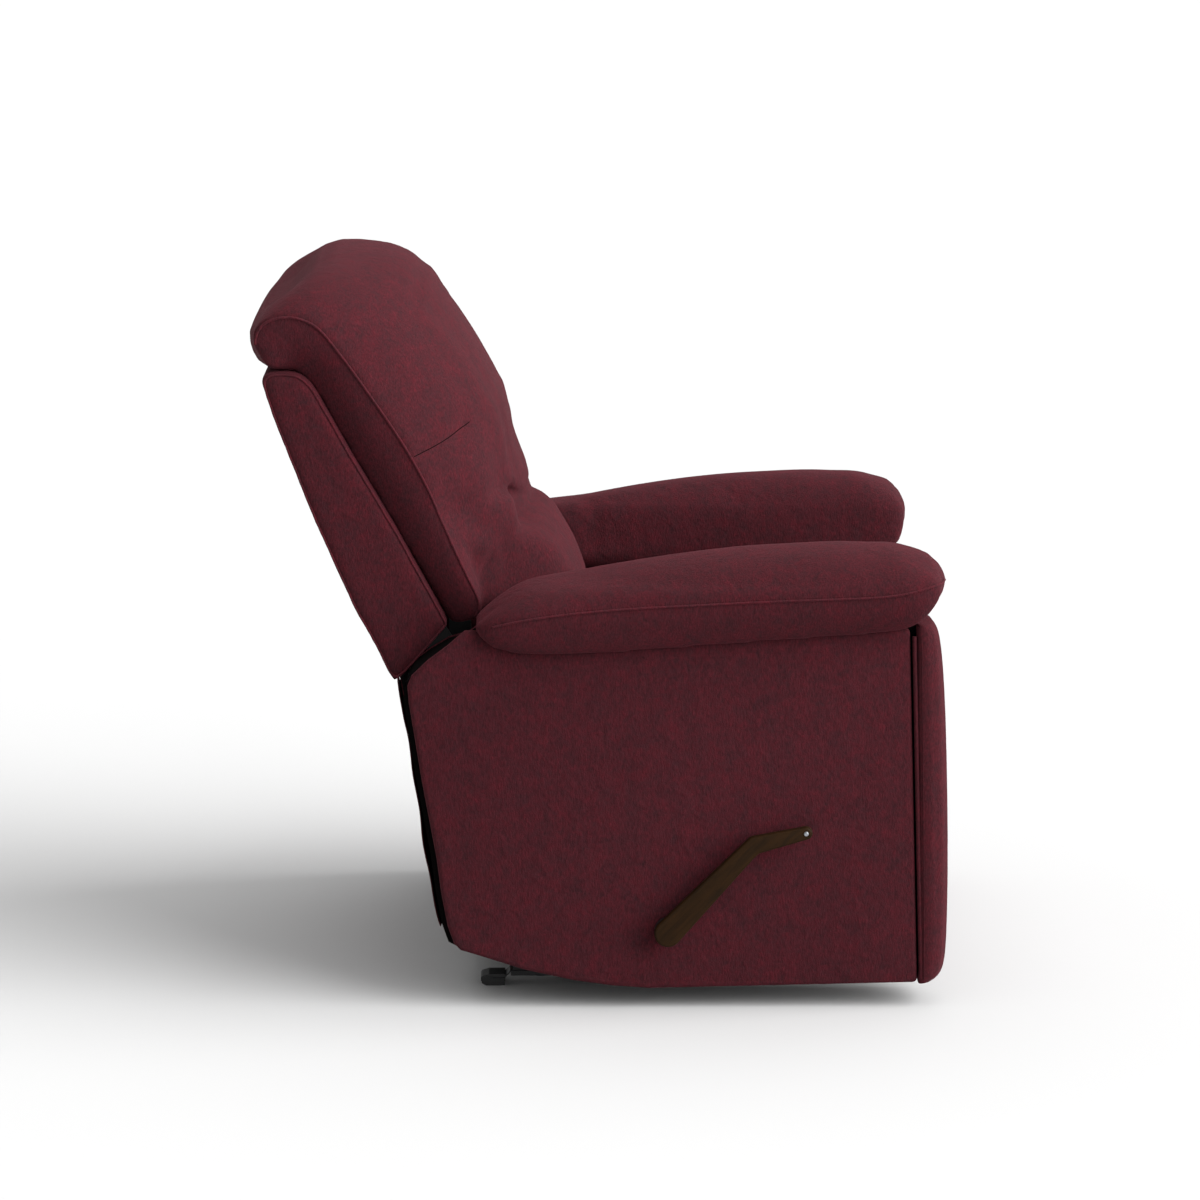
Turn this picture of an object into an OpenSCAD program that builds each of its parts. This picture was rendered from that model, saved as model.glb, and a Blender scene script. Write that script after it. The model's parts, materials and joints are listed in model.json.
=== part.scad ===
// Gliding recliner: padded easy chair on hanging glide links, with a side lever that folds
// a leg rest out on scissor links, and a back that reclines while the seat slides forward.
// Millimetres, +Z up, the chair faces -Y, the lever is on the sitter's right (-X).
// Side outlines are written as [f, z] points, where f is the distance forward (-Y).

/* [Arms] */
// Half width over the upholstered side panels
arm_out = 426; // [422:1:430]
// Half width between the arm boxes
arm_in = 310; // [308:1:314]
// Height of the level top of the arm boxes
arm_top = 541; // [536:1:546]
// Thickness of an upholstered side panel
side_t = 18; // [14:1:20]
// Thickness of the timber panel on the inner side of an arm
inner_t = 14; // [10:1:16]
// Distance that an arm pillow reaches past the side panel
pillow_over = 33; // [26:1:34]

/* [Back] */
// Half width of the back
back_half = 345; // [342:1:348]
// Thickness of the outer back panel
back_wall = 16; // [12:1:24]
// Height of the crown of the back pillow above the floor
crown_z = 1042; // [1030:1:1050]

/* [Seat] */
// Height of the crown of the seat cushion above the floor
seat_z = 492; // [484:1:496]
// Thickness of the timber rails of the seat frame
seat_rail = 20; // [16:1:24]

/* [Mechanism] */
// Thickness of the steel plates and links
plate_t = 4; // [3.5:0.1:4.4]
// Radius of the pivot rivets of the leg-rest links
rivet_r = 4; // [3:0.1:5]
// Width of a leg-rest link
link_w = 22; // [18:0.5:23]
// Length of a hanging glide link between its pivots
glide_len = 110; // [100:1:120]
// Radius of the drive shaft
shaft_r = 8; // [6:0.1:9]
// Radius of the hinge pins of the back
hinge_r = 6; // [5:0.1:7]

/* [Base] */
// Height of the four feet
foot_h = 17; // [15:1:19]
// Width of a base rail
base_w = 32; // [28:1:34]
// Radius of the cross tubes
tube_r = 12; // [10:0.5:13]

/* [Handle] */
// Thickness of the wooden lever
lever_t = 14; // [12:0.5:15]
// Radius of the round hub behind the lever
hub_r = 18; // [15:0.5:20]

/* [Hidden] */
$fn = 40;

// Clearances: running fit of a pin, side gap between two plates, gap between two bodies
fit = 0.05;
layer_gap = 2;
skin_gap = 0.4;
face_gap = 0.1;

// Step where the round end of a bar meets its straight length
end_step = 0.12;

// Layers of the mechanism, counted inwards from the inner face of an arm
rail_layer = 0;
bracket_layer = 1;
glide_layer = 2;
tower_layer = 3;
tail_layer = 4;
main_layer = 5;
inner_layer = 6;
function lay(n) = arm_in - n * (plate_t + layer_gap) - plate_t;

// Pivots of the leg-rest linkage, folded, in the chassis
pivot_1 = [225.7, 230];
pivot_2 = [267, 285];
angle_1 = -72.6;
angle_2 = -80;
angle_3 = 64.6;
len_mid = 170;
len_tail = 230;
len_cross = 50;
len_rest = 205;
drop_rest = 39;
drive_arm = 50;
function polar(c, r, a) = c + r * [cos(a), sin(a)];
mid = polar(pivot_2, len_mid, angle_2);
tail = polar(pivot_2, len_tail, angle_2);
cross = polar(mid, -len_cross, angle_3);
rest = polar(mid, len_rest, angle_3);
toe = rest - [0, drop_rest];
drive_end = polar(pivot_1, drive_arm, angle_1);
// The three pivots that are left open get a wide hole under a washer
open_r = rivet_r + 3.4;
toe_r = rivet_r + 7;

// Handle shaft, its crank and the hinge of the back
shaft = [87, 114];
crank_len = 32;
crank = polar(shaft, crank_len, -92);
hinge = [-205, 352];
slide_drop = 60;
slot_play = 0.8;
slide_pin = hinge - [0, slide_drop];

// Glide pivots
glide_top = 190;
glide_low = glide_top - glide_len;
glide_f = [-90, 170];

// Heights of the base, from the floor up
bar_bottom = foot_h - 3;
bar_top = bar_bottom + 7;
base_x = arm_in - 30;
tube_z = bar_top + tube_r + 3;
tube_f = [-106, 176];

// Ends of the base, where the feet stand, and of the thick length of its rails
base_ends = [-176, 288];
foot_len = 35;
tongue_in = 16;
tongue_run = 43;

// Bolts that hold each rail to its arm
bolt_spots = [[-166, 354], [0, 350], [150, 350], [130, 120], [-60, 100]];

// Seat, with a side gap to the arms
seat_half = arm_in - 9;
track_top = 384;
track_low = track_top - 24;
track_f = -55;
track_end = 288;
seat_gap = 0.3;
seat_low = track_top + seat_gap;
seat_board = seat_low + seat_rail;
front_rail = 425;

// Side outline of an arm box, from the lower rear corner round to the front
rear_edge = [[-212, 93], [-221, 119], [-230, 168], [-236, 217], [-246, 272], [-256, 328], [-264, 380],
    [-273, 439], [-275, 464]];
rear_slope = [[-269, 480], [-247, 501], [-218, 523], [-197, arm_top]];
// The same corner of the arm box and the inner panel, which pass under the end of the back pillow
inner_slope = [[-266, 480], [-243, 497], [-218, 512], [-190, 520], [-160, arm_top]];
under_edge = [[335, 37], [227, 35], [117, 33], [63, 32], [9, 35], [-45, 41], [-112, 55], [-177, 76],
    [-203, 84]];

// Plane of the front panel's back, from its foot to its head
front_foot = [443, 39];
front_head = [432, arm_top];

// Smooth curve through control points, k steps between two of them
function blend(a, b, c, d, t) =
    0.5 * (2 * b + (c - a) * t + (2 * a - 5 * b + 4 * c - d) * t * t
    + (3 * b - a - 3 * c + d) * t * t * t);
function curve(p, k) = [
    for (i = [0:len(p) - 2]) for (j = [0:k - 1])
        blend(p[max(i - 1, 0)], p[i], p[i + 1], p[min(i + 2, len(p) - 1)], j / k),
    p[len(p) - 1]];
function bell(d, w) = exp(-d * d / (w * w));

// Closed skin over rings of equal length, the first and last ring are capped
module skin(rings) {
    n = len(rings[0]);
    m = len(rings);
    sides = [for (j = [0:m - 2]) for (i = [0:n - 1])
        let (a = j * n + i, b = j * n + (i + 1) % n, c = a + n, d = b + n)
        each [[a, b, d], [a, d, c]]];
    first = [for (i = [1:n - 2]) [0, i + 1, i]];
    last = [for (i = [1:n - 2]) [(m - 1) * n, (m - 1) * n + i, (m - 1) * n + i + 1]];
    polyhedron([for (r = rings) each r], concat(sides, first, last), convexity = 8);
}

// Side outline [f, z] extruded across the chair from x0 to x1
module side(x0, x1) {
    translate([x1, 0, 0]) rotate([0, 0, -90]) rotate([90, 0, 0]) linear_extrude(x1 - x0) children();
}
module plate(n) {
    side(lay(n), lay(n) + plate_t) children();
}
module left() {
    children();
}
module right() {
    mirror([1, 0, 0]) children();
}
module both() {
    left() children();
    right() children();
}
module disc(p, r) {
    translate(p) circle(r);
}
// Flat bar with round ends between two points, its ends a touch wider than its length
module bar(p, q, w) {
    run = norm(q - p);
    mid_w = w - 2 * end_step;
    disc(p, w / 2);
    disc(q, w / 2);
    translate(p) rotate(atan2(q[1] - p[1], q[0] - p[0])) translate([0, -mid_w / 2]) square([run, mid_w]);
}

// Base

// Thin end of a rail, bent down into its foot, seen from the foot's outer end
module tongue() {
    t = 2.2;
    low = foot_h - 6;
    polygon([[tongue_in, low], [foot_len, low], [tongue_run, bar_top - t], [tongue_run + 1, bar_top - t],
        [tongue_run + 1, bar_top], [tongue_run - 1, bar_top], [foot_len - 1, low + t], [tongue_in, low + t]]);
}
// Places children at both ends of a rail, from the end inwards
module at_ends(x0, x1) {
    side(x0, x1) translate([base_ends[0], 0]) children();
    side(x0, x1) translate([base_ends[1], 0]) scale([-1, 1]) children();
}
module base_rail() {
    x0 = base_x - base_w / 2;
    y0 = tongue_run - base_ends[1];
    y1 = -base_ends[0] - tongue_run;
    color("#26262a") difference() {
        union() {
            translate([x0, y0, bar_bottom]) cube([base_w, y1 - y0, bar_top - bar_bottom]);
            at_ends(x0, x0 + base_w) tongue();
            for (f = glide_f) translate([base_x, -f, bar_bottom])
                cylinder(h = bar_top - bar_bottom, r = base_w / 2 + 2);
        }
        for (f = [-40, 100]) translate([base_x, -f, bar_bottom - 1]) cylinder(h = 9, r = 6);
    }
}
module base_rail_left() left() base_rail();
module base_rail_right() right() base_rail();

// Block under each end of a rail, its outer end chamfered and ribbed, with a slot for the tongue
module base_feet() {
    half = base_w / 2 + 2;
    color("#1c1c1f") both() at_ends(base_x - half, base_x + half) difference() {
        polygon([[8, 0], [foot_len, 0], [foot_len, foot_h], [12, foot_h], [2, foot_h - 3],
            [0, foot_h - 5], [0, foot_h - 7], [1.5, foot_h - 7.6], [0, foot_h - 8.2], [0, foot_h - 10],
            [1.5, foot_h - 10.6], [1, foot_h - 11.2], [2, 3]]);
        tongue();
    }
}
module cross_tube(f, z, half) {
    side(-half, half) difference() {
        disc([f, z], tube_r);
        disc([f, z], tube_r - 2);
    }
}
module base_cross_front() color("#26262a") cross_tube(tube_f[1], tube_z, lay(tower_layer) + plate_t);
module base_cross_rear() color("#26262a") cross_tube(tube_f[0], tube_z, lay(tower_layer) + plate_t);

// Two uprights on a low web, cut out between them for the drive shaft
module glide_tower() {
    fr = glide_f[0];
    ff = glide_f[1];
    color("#303034") {
        plate(tower_layer) difference() {
            union() {
                polygon([[fr - 40, bar_top], [ff + 26, bar_top], [ff + 14, glide_top],
                    [ff - 14, glide_top], [ff - 24, 58], [fr + 30, 58], [fr + 14, glide_top],
                    [fr - 14, glide_top]]);
                disc([fr, glide_top], 14);
                disc([ff, glide_top], 14);
            }
            disc([fr - 4, 100], 9);
            disc([ff + 2, 100], 9);
            for (f = tube_f) disc([f, tube_z], tube_r);
        }
        flange = lay(tower_layer) - base_x + base_w / 2;
        for (f = [fr - 20, ff - 46]) translate([base_x - base_w / 2, -f - 50, bar_top])
            cube([flange, 50, 3]);
    }
}
module glide_tower_left() left() glide_tower();
module glide_tower_right() right() glide_tower();

pin_r = 6;
module glide_upper_pins() {
    x0 = lay(tower_layer) + plate_t;
    x1 = lay(glide_layer) + plate_t;
    color("#8c8f94") both() for (f = glide_f) {
        side(x0, x0 + layer_gap - fit) disc([f, glide_top], pin_r + 3);
        side(x0, x1 + 0.4) disc([f, glide_top], pin_r - fit);
        side(x1 + 0.3, x1 + 1.6) disc([f, glide_top], pin_r + 3);
    }
}

// Hanging links

module glide_link(f) {
    color("#4a4c50") plate(glide_layer) difference() {
        union() {
            bar([f, glide_top], [f, glide_low], 24);
            disc([f, glide_top], 14);
            disc([f, glide_low], 14);
        }
        disc([f, glide_top], pin_r);
        disc([f, glide_low], pin_r);
        disc([f, (glide_top + glide_low) / 2], 5);
    }
}
module glide_links_rear() both() glide_link(glide_f[0]);
module glide_links_front() both() glide_link(glide_f[1]);

// Chassis

module mechanism_rail() {
    color("#303034") plate(rail_layer) difference() {
        union() {
            polygon([[-228, 330], [-150, 190], [-116, 66], [-60, 60], [60, 84], [118, 84], [200, 60],
                [240, 190], [282, 262], [288, 372], [-222, 372]]);
            disc([glide_f[0], glide_low], 22);
            disc([glide_f[1], glide_low], 22);
            disc(hinge, 24);
            disc(pivot_2, 18);
        }
        disc(shaft, shaft_r + 0.1);
        for (p = [[-118, 250], [-14, 265], [88, 265], [0, 165], [100, 180]])
            disc(p, p[1] > 200 ? 40 : 30);
        for (p = bolt_spots) disc(p, 4);
    }
}
module mechanism_rail_left() left() mechanism_rail();
module mechanism_rail_right() right() mechanism_rail();

module glide_lower_pins() {
    x0 = lay(glide_layer);
    x1 = lay(rail_layer);
    color("#8c8f94") both() for (f = glide_f) {
        side(x0 - 0.4, x1) disc([f, glide_low], pin_r - fit);
        side(x0 + plate_t + 0.3, x1) disc([f, glide_low], pin_r + 3);
        side(x0 - 1.6, x0 - 0.3) disc([f, glide_low], pin_r + 3);
    }
}
// Pins that carry links 1 and 2, stood off the rail by a collar
module link_pivot_pins() {
    x0 = lay(main_layer);
    x1 = lay(rail_layer);
    color("#8c8f94") both() for (p = [pivot_1, pivot_2]) {
        side(x0 - 0.4, x1) disc(p, rivet_r - fit);
        side(x0 + plate_t + 0.3, x1) disc(p, rivet_r + 4);
        side(x0 - 1.6, x0 - 0.3) disc(p, rivet_r + 3);
    }
}
module back_hinge_pins() {
    x0 = lay(bracket_layer);
    x1 = lay(rail_layer);
    color("#8c8f94") both() {
        side(x0 - 0.4, x1) disc(hinge, hinge_r - fit);
        side(x0 + plate_t + 0.3, x1) disc(hinge, hinge_r + 4);
        side(x0 - 1.6, x0 - 0.3) disc(hinge, hinge_r + 4);
    }
}
module chassis_cross_front() color("#303034") cross_tube(205, 336, lay(rail_layer));
module chassis_cross_rear() color("#303034") cross_tube(-155, 232, lay(rail_layer));

// Angle that the seat frame slides on
module seat_track() {
    color("#6e7177") {
        side(lay(rail_layer) - 1.8, lay(rail_layer)) difference() {
            polygon([[track_f, track_low], [track_end, track_low], [track_end, track_top],
                [track_f, track_top]]);
            for (f = [-30, 60, 150, 260]) disc([f, track_low + 6], 2.5);
        }
        side(lay(rail_layer) - 14, lay(rail_layer)) polygon([[track_f, track_top - 2],
            [track_end, track_top - 2], [track_end, track_top], [track_f, track_top]]);
    }
}
module seat_track_left() left() seat_track();
module seat_track_right() right() seat_track();

// Domed heads of the bolts that hold the rails to the arms
module rail_bolts() {
    color("#8c8f94") both() for (p = bolt_spots)
        translate([lay(rail_layer), -p[0], p[1]]) rotate([0, -90, 0]) rotate_extrude() polygon([
            [0, 0], [8, 0], [7.4, 1.6], [5.4, 2.8], [2.6, 3.4], [0, 3.4]]);
}

// Arms

frame_in = arm_in + inner_t;
frame_out = arm_out - side_t;
// The box stands a little proud of the covered panels at the rear
rear_pad = 8;
rear_count = len(rear_edge) - 1;
box_rear = [for (i = [0:rear_count]) rear_edge[i] - [i < rear_count ? rear_pad : 1, 0]];
module arm_frame() {
    color("#1a1412") side(frame_in, frame_out) difference() {
        polygon(concat([front_head, front_foot], under_edge, box_rear, inner_slope));
        polygon([[-212, 420], [-178, 490], [384, 490], [398, 90], [52, 84], [-60, 92], [-160, 128],
            [-182, 250]]);
    }
}
module arm_frame_left() left() arm_frame();
module arm_frame_right() right() arm_frame();

module arm_outline(front, slope) {
    polygon(concat([front], under_edge, rear_edge, slope, [[front[0] - 16, arm_top]]));
}
module inner_panel() {
    color("#5a1f2c") side(arm_in, frame_in) difference() {
        arm_outline([437, 39], inner_slope);
        disc(shaft, shaft_r + 2);
    }
}
module inner_panel_left() left() inner_panel();
module inner_panel_right() right() inner_panel();

module side_panel() {
    color("#5a1f2c") side(frame_out, arm_out) arm_outline([439, 39], rear_slope);
}
module side_panel_left() left() side_panel();
module side_panel_right() {
    color("#5a1f2c") difference() {
        right() side_panel();
        side(-arm_out - 1, -frame_out + 1) disc(shaft, shaft_r + 2);
    }
}

// Padded strip on the front of an arm: flat back, welted seam, crowned face
front_in = arm_in + 10;
front_out = arm_out + 3;
function front_back(z) = front_foot[0] + (front_head[0] - front_foot[0]) * (z - front_foot[1])
    / (front_head[1] - front_foot[1]);
front_crown = [[38, 455], [44, 470], [60, 479], [100, 483], [190, 484], [300, 482], [408, 478],
    [480, 473], [517, 468], [532, 463], [arm_top, 456]];
function front_ring(z, crown) = let (
    b = front_back(z),
    d = crown - b,
    c = (front_in + front_out) / 2,
    h = (front_out - front_in) / 2)
    [for (p = [[0, 1], [-h * 0.6, 0.94], [6 - h, 0.74], [-h, 0.4], [-h, 0.2], [2 - h, 0], [-h / 2, 0],
        [h / 2, 0], [h - 2, 0], [h, 0.2], [h, 0.4], [h - 6, 0.74], [h * 0.6, 0.94]])
        [c + p[0], -(b + face_gap + d * p[1]), z]];
module arm_front() {
    levels = curve(front_crown, 2);
    color("#5a1f2c") skin([for (p = levels) front_ring(p[0], p[1])]);
}
module arm_front_left() left() arm_front();
module arm_front_right() right() arm_front();

// Pillow laid over the arm, with a lip that hangs past the side panel
pillow_out = arm_out + pillow_over;
pillow_in = 267;
pillow_top = [[-184, 548], [-168, 563], [-141, 580], [-108, 595], [-65, 607], [-11, 617], [64, 631],
    [145, 643], [226, 651], [297, 654], [356, 652], [404, 647], [437, 640], [459, 630], [472, 617],
    [478, 606]];
// Fall of its top from the inner side to the outer one
pillow_fall = 0.1;
lip_low = [[-184, 538], [-163, 516], [-130, 505], [-88, 501], [10, 505], [118, 513], [228, 521],
    [336, 529], [428, 538], [449, 553], [465, 574], [473, 590], [478, 600]];
plan_in = [[-184, 372], [-176, 358], [-164, 348.5], [-150, 330], [-120, 296], [-80, 272],
    [-40, pillow_in], [430, pillow_in], [455, 272], [470, 284], [478, 302]];
plan_out = [[-184, pillow_out - 30], [-176, pillow_out - 14], [-160, pillow_out - 5], [-120, pillow_out],
    [430, pillow_out], [455, pillow_out - 4], [470, pillow_out - 15], [478, pillow_out - 34]];
seat_line = [[-184, arm_top], [440, arm_top], [449, 553], [465, 574], [473, 590], [478, 600]];
function pillow_ring(f, top) = let (
    low = lookup(f, seat_line) + skin_gap,
    lip = min(lookup(f, lip_low), low),
    xi = lookup(f, plan_in),
    xo = lookup(f, plan_out),
    step = min(arm_out + skin_gap, xo - 2),
    c = (xi + xo) / 2,
    h = (xo - xi) / 2,
    zm = low + 0.4 * (top - low))
    [for (p = concat(
        [[step, low], [min(xi + 24, step - 2), low]],
        [[xi + 9, low + 0.12 * (zm - low)], [xi + 2, low + 0.5 * (zm - low)]],
        [for (a = [180:-15:0]) let (u = h * sign(cos(a)) * pow(abs(cos(a)), 0.8))
            [c + u, zm + (top - zm) * pow(sin(a), 0.85) - pillow_fall * u * sin(a)]],
        [for (a = [60, 30, 0]) [step + (xo - step) * sin(a), zm - (zm - lip) * cos(a)]]))
        [p[0], -f, p[1]]];
module arm_pillow() {
    color("#5a1f2c") skin([for (p = curve(pillow_top, 2)) pillow_ring(p[0], p[1])]);
}
module arm_pillow_left() left() arm_pillow();
module arm_pillow_right() right() arm_pillow();

// Fabric flap across the rear, behind the arm frames
apron_half = 394;
apron_t = 5;
// The back's brackets swing out through a slit in the flap
slit_low = 404;
slit_play = 4;
module rear_apron() {
    line = concat([for (i = [1:len(box_rear) - 2]) box_rear[i]], [[-283, 452]]);
    flap = [for (i = [len(line) - 1:-1:0]) line[i] - [apron_t, 0]];
    x = lay(bracket_layer);
    color("#4f1b27") difference() {
        side(-apron_half, apron_half) polygon(concat(line, flap));
        both() side(x - slit_play, x + plate_t + slit_play) translate([-300, slit_low]) square([40, 60]);
    }
}

// Seat

module seat_frame() {
    rear_f = -150;
    w = 44;
    run = front_rail - rear_f;
    color("#8a6a45") translate([-seat_half, -front_rail, seat_low]) difference() {
        cube([2 * seat_half, run, seat_rail]);
        translate([w, w, -1]) cube([2 * (seat_half - w), run - 2 * w, seat_rail + 2]);
    }
}
// Zigzag springs between the front and rear rails
wire_w = 3.6;
module zigzag(run, swing, turns, w) {
    steps = 8 * turns;
    line = [for (i = [0:steps]) [run * i / steps, swing * sin(360 * turns * i / steps)]];
    slope = 360 * turns / run * PI / 180 * swing;
    edge = [for (i = [0:steps]) let (s = slope * cos(360 * turns * i / steps))
        [-s, 1] / sqrt(1 + s * s) * w / 2];
    loop = concat([for (i = [0:steps]) line[i] + edge[i]],
        [for (i = [steps:-1:0]) line[i] - edge[i]]);
    polygon([for (p = loop) [min(max(p[0], 0), run), p[1]]]);
}
module seat_springs() {
    color("#6e7177") for (x = [-190, -95, 0, 95, 190])
        translate([x, 106, seat_low + seat_rail - 9]) rotate(-90) linear_extrude(wire_w)
            zigzag(487, 22, 6, wire_w);
}
// Slotted tabs that the back pushes the seat with
module seat_slide_brackets() {
    p = slide_pin;
    slot = hinge_r - 1 + slot_play;
    color("#6e7177") both() plate(glide_layer) difference() {
        polygon([p + [-20, -16], p + [20, -16], p + [66, seat_low - p[1] - 14], [-100, seat_low - 14],
            [-100, seat_low], [-168, seat_low], p + [-20, 40]]);
        bar(p + [0, -1], p + [0, 11], 2 * slot);
    }
    color("#6e7177") both() translate([lay(glide_layer) - 30, 100, seat_low - 3])
        cube([30 + plate_t, 50, 3]);
}
function seat_profile(x) = let (
    t = abs(x) / seat_half,
    k = pow(max(1 - pow(t, 3), 0), 0.6),
    top = seat_z - 24)
    concat([[front_rail, seat_board], [-140, seat_board]],
        curve([[-150, seat_board + 4], [-153, top - 24], [-140, top - 6 + 8 * k], [-60, top + 16 * k],
        [120, top + 22 * k], [290, top + 24 * k], [380, top + 18 * k], [424, top - 8 + 12 * k],
        [437 + 4 * k, top - 30], [438 + 3 * k, seat_board + 8], [434 + 2 * k, seat_low + 2]], 2),
        [[front_rail, seat_low + 1]]);
module seat_cushion() {
    rows = [for (i = [-9:9]) seat_half * sin(10 * i)];
    color("#5a1f2c") skin([for (x = rows) let (p = seat_profile(x))
        [for (i = [len(p) - 1:-1:0]) [x, -p[i][0], p[i][1]]]]);
}

// Back

// Shared line between the frame's front edge and the pillow's rear
lean = [[-217, 533], [-294, 676], [-354, 779], [-398, 859], [-413, 880], [-428, 890]];
inner_wall = [[-456, 815], [-405, 687], [-348, 556], [-318, 502], [-300, 440]];
module back_frame() {
    inset = lay(bracket_layer) + plate_t;
    shell = [[-468, 890], [-476, 879], [-459, 825], [-405, 687], [-348, 556], [-318, 502], [-301, 466],
        [-290, 461], [-237, 514]];
    color("#5a1f2c") difference() {
        side(-back_half, back_half) polygon(concat(lean, shell));
        side(-inset, inset) polygon(concat(
            [[-180, 500], [-150, 560], [-388, 859], [-414, 868], [-436, 868]],
            [for (p = inner_wall) p + [back_wall, 0]]));
    }
}

// Pillow of the back: side profile and middle profile share their points
head_side = [[-467, 893], [-486, 928], [-482, 955], [-444, 969], [-403, 958], [-368, 917], [-323, 854],
    [-278, 786], [-241, 717], [-212, 652], [-188, 599], [-170, 563], [-180, 541], [-207, 531]];
head_mid = [[-467, 893], [-495, 936], [-466, 985], [-402, crown_z - 8], [-352, crown_z],
    [-292, crown_z - 14], [-229, 974], [-172, 884], [-128, 776], [-96, 690], [-42, 642], [-20, 560],
    [-52, 508], [-150, 504]];
head_wide = [1, 1, 1, 1, 1, 1, 1, 1, 0.98, 0.9, 0.76, 0.74, 0.74, 0.74];
// How squarely the middle profile holds out to the sides, fullest at the wings above the arms
head_square = [2.4, 2.4, 2.4, 2.4, 2.4, 2.4, 2.4, 2.8, 4, 4.4, 3, 2.4, 2.4, 2.4];
head_steps = 3;
// Tufts, one on each side, on the crease above the roll for the small of the back
tuft_x = 170;
tuft_z = 692;
// Share of the middle profile at x, for a form that is w wide on each side
function fullness(x, w, power) = pow(max(1 - pow(min(abs(x) / w, 1), power), 0), 0.62);
function head_profile(x) = let (
    wide = curve([for (i = [0:len(head_wide) - 1]) [head_wide[i], head_square[i]]], head_steps),
    s = curve(head_side, head_steps),
    c = curve(head_mid, head_steps),
    raw = [for (i = [0:len(s) - 1])
        s[i] + (c[i] - s[i]) * fullness(x, back_half * wide[i][0], wide[i][1])])
    [for (i = [0:len(raw) - 1]) let (
        z = raw[i][1],
        front = i > 3 * head_steps ? 1 : 0,
        groove_x = tuft_x + (z - tuft_z) * 0.1,
        mid_crease = 16 * bell(z - tuft_z, 20) * bell(x, 260),
        side_crease = z > tuft_z ? 9 * bell(abs(x) - groove_x, 26) * min(1, (crown_z - z) / 120) : 0,
        tuft = 12 * bell(z - tuft_z, 22) * bell(abs(x) - tuft_x, 34))
        raw[i] - front * [(mid_crease + side_crease + tuft), 0]];
module back_pillow() {
    rows = [for (i = [-13:13]) back_half * sin(90 * i / 13)];
    rear = [for (p = lean) p + [0.5, 0.5]];
    color("#5a1f2c") skin([for (x = rows) let (p = head_profile(x), r = concat(p, rear))
        [for (i = [len(r) - 1:-1:0]) [x, -r[i][0], r[i][1]]]]);
}

module back_bracket() {
    x1 = lay(bracket_layer) + plate_t;
    color("#303034") {
        plate(bracket_layer) difference() {
            union() {
                polygon([hinge + [-20, 0], hinge + [16, 0], hinge + [10, 80], [-208, 500], [-280, 620],
                    [-326, 706], [-344, 690], [-300, 580], [-252, 500], hinge + [-24, 80]]);
                disc(hinge, 20);
                bar(hinge, slide_pin, 24);
            }
            disc(hinge, hinge_r);
            disc([-222, 470], 5);
        }
        side(lay(glide_layer) - 1.6, x1 - plate_t + 0.1) disc(slide_pin, hinge_r - 1);
        side(lay(glide_layer) - 2.4, lay(glide_layer) - 0.4) disc(slide_pin, hinge_r + 3);
    }
}
module back_bracket_left() left() back_bracket();
module back_bracket_right() right() back_bracket();

// Handle

bend = [207, 240];
tip = [279, 257];
lever_radii = [19, 12.5, 9];
// Tapered length between two round ends
module taper(p, q, r0, r1) {
    a = atan2(q[1] - p[1], q[0] - p[0]) + 90;
    u = r0 - end_step;
    v = r1 - end_step;
    polygon([polar(p, u, a), polar(p, -u, a), polar(q, -v, a), polar(q, v, a)]);
}
module lever_shape(cut) {
    r = [for (v = lever_radii) v - cut];
    disc(shaft, r[0]);
    disc(bend, r[1]);
    disc(tip, r[2]);
    taper(shaft, bend, r[0], r[1]);
    taper(bend, tip, r[1], r[2]);
}
lever_x = arm_out + 15;
module handle_lever() {
    edge = 2;
    color("#33241a") right() {
        side(lever_x + edge, lever_x + lever_t - edge) lever_shape(0);
        side(lever_x, lever_x + edge) lever_shape(1.5);
        side(lever_x + lever_t - edge, lever_x + lever_t - 0.8) lever_shape(1);
        side(lever_x + lever_t - 0.8, lever_x + lever_t) lever_shape(2.6);
    }
}
module handle_hub() {
    color("#1c1c1f") right() side(arm_out + 1, lever_x) disc(shaft, hub_r);
}
module handle_screw() {
    color("#b8bbc0") translate([-lever_x - lever_t, -tip[0], tip[1]]) rotate([0, -90, 0]) rotate_extrude()
        polygon([[0, 0], [3.4, 0], [3, 0.9], [1.6, 1.4], [0, 1.4]]);
}
// Shaft across the chair with a crank welded on each side
module drive_shaft() {
    x_in = lay(main_layer);
    color("#4a4c50") {
        side(-arm_out - 1, lay(rail_layer) + plate_t + 3) disc(shaft, shaft_r);
        both() {
            plate(main_layer) difference() {
                bar(shaft, crank, 20);
                disc(shaft, shaft_r - 1);
            }
            side(x_in - 2.6 - plate_t, x_in + 0.1) disc(crank, rivet_r - fit);
            side(x_in - layer_gap + 0.3, x_in) disc(crank, rivet_r + 3);
            side(x_in - 3.6 - plate_t, x_in - 2.3 - plate_t) disc(crank, rivet_r + 3);
        }
    }
}

// Leg-rest linkage

module drive_links() {
    color("#4a4c50") both() plate(inner_layer) difference() {
        union() {
            bar(crank, drive_end, link_w - 4);
            disc(drive_end, open_r + 4);
        }
        disc(crank, rivet_r);
        disc(drive_end, open_r);
    }
}
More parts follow.
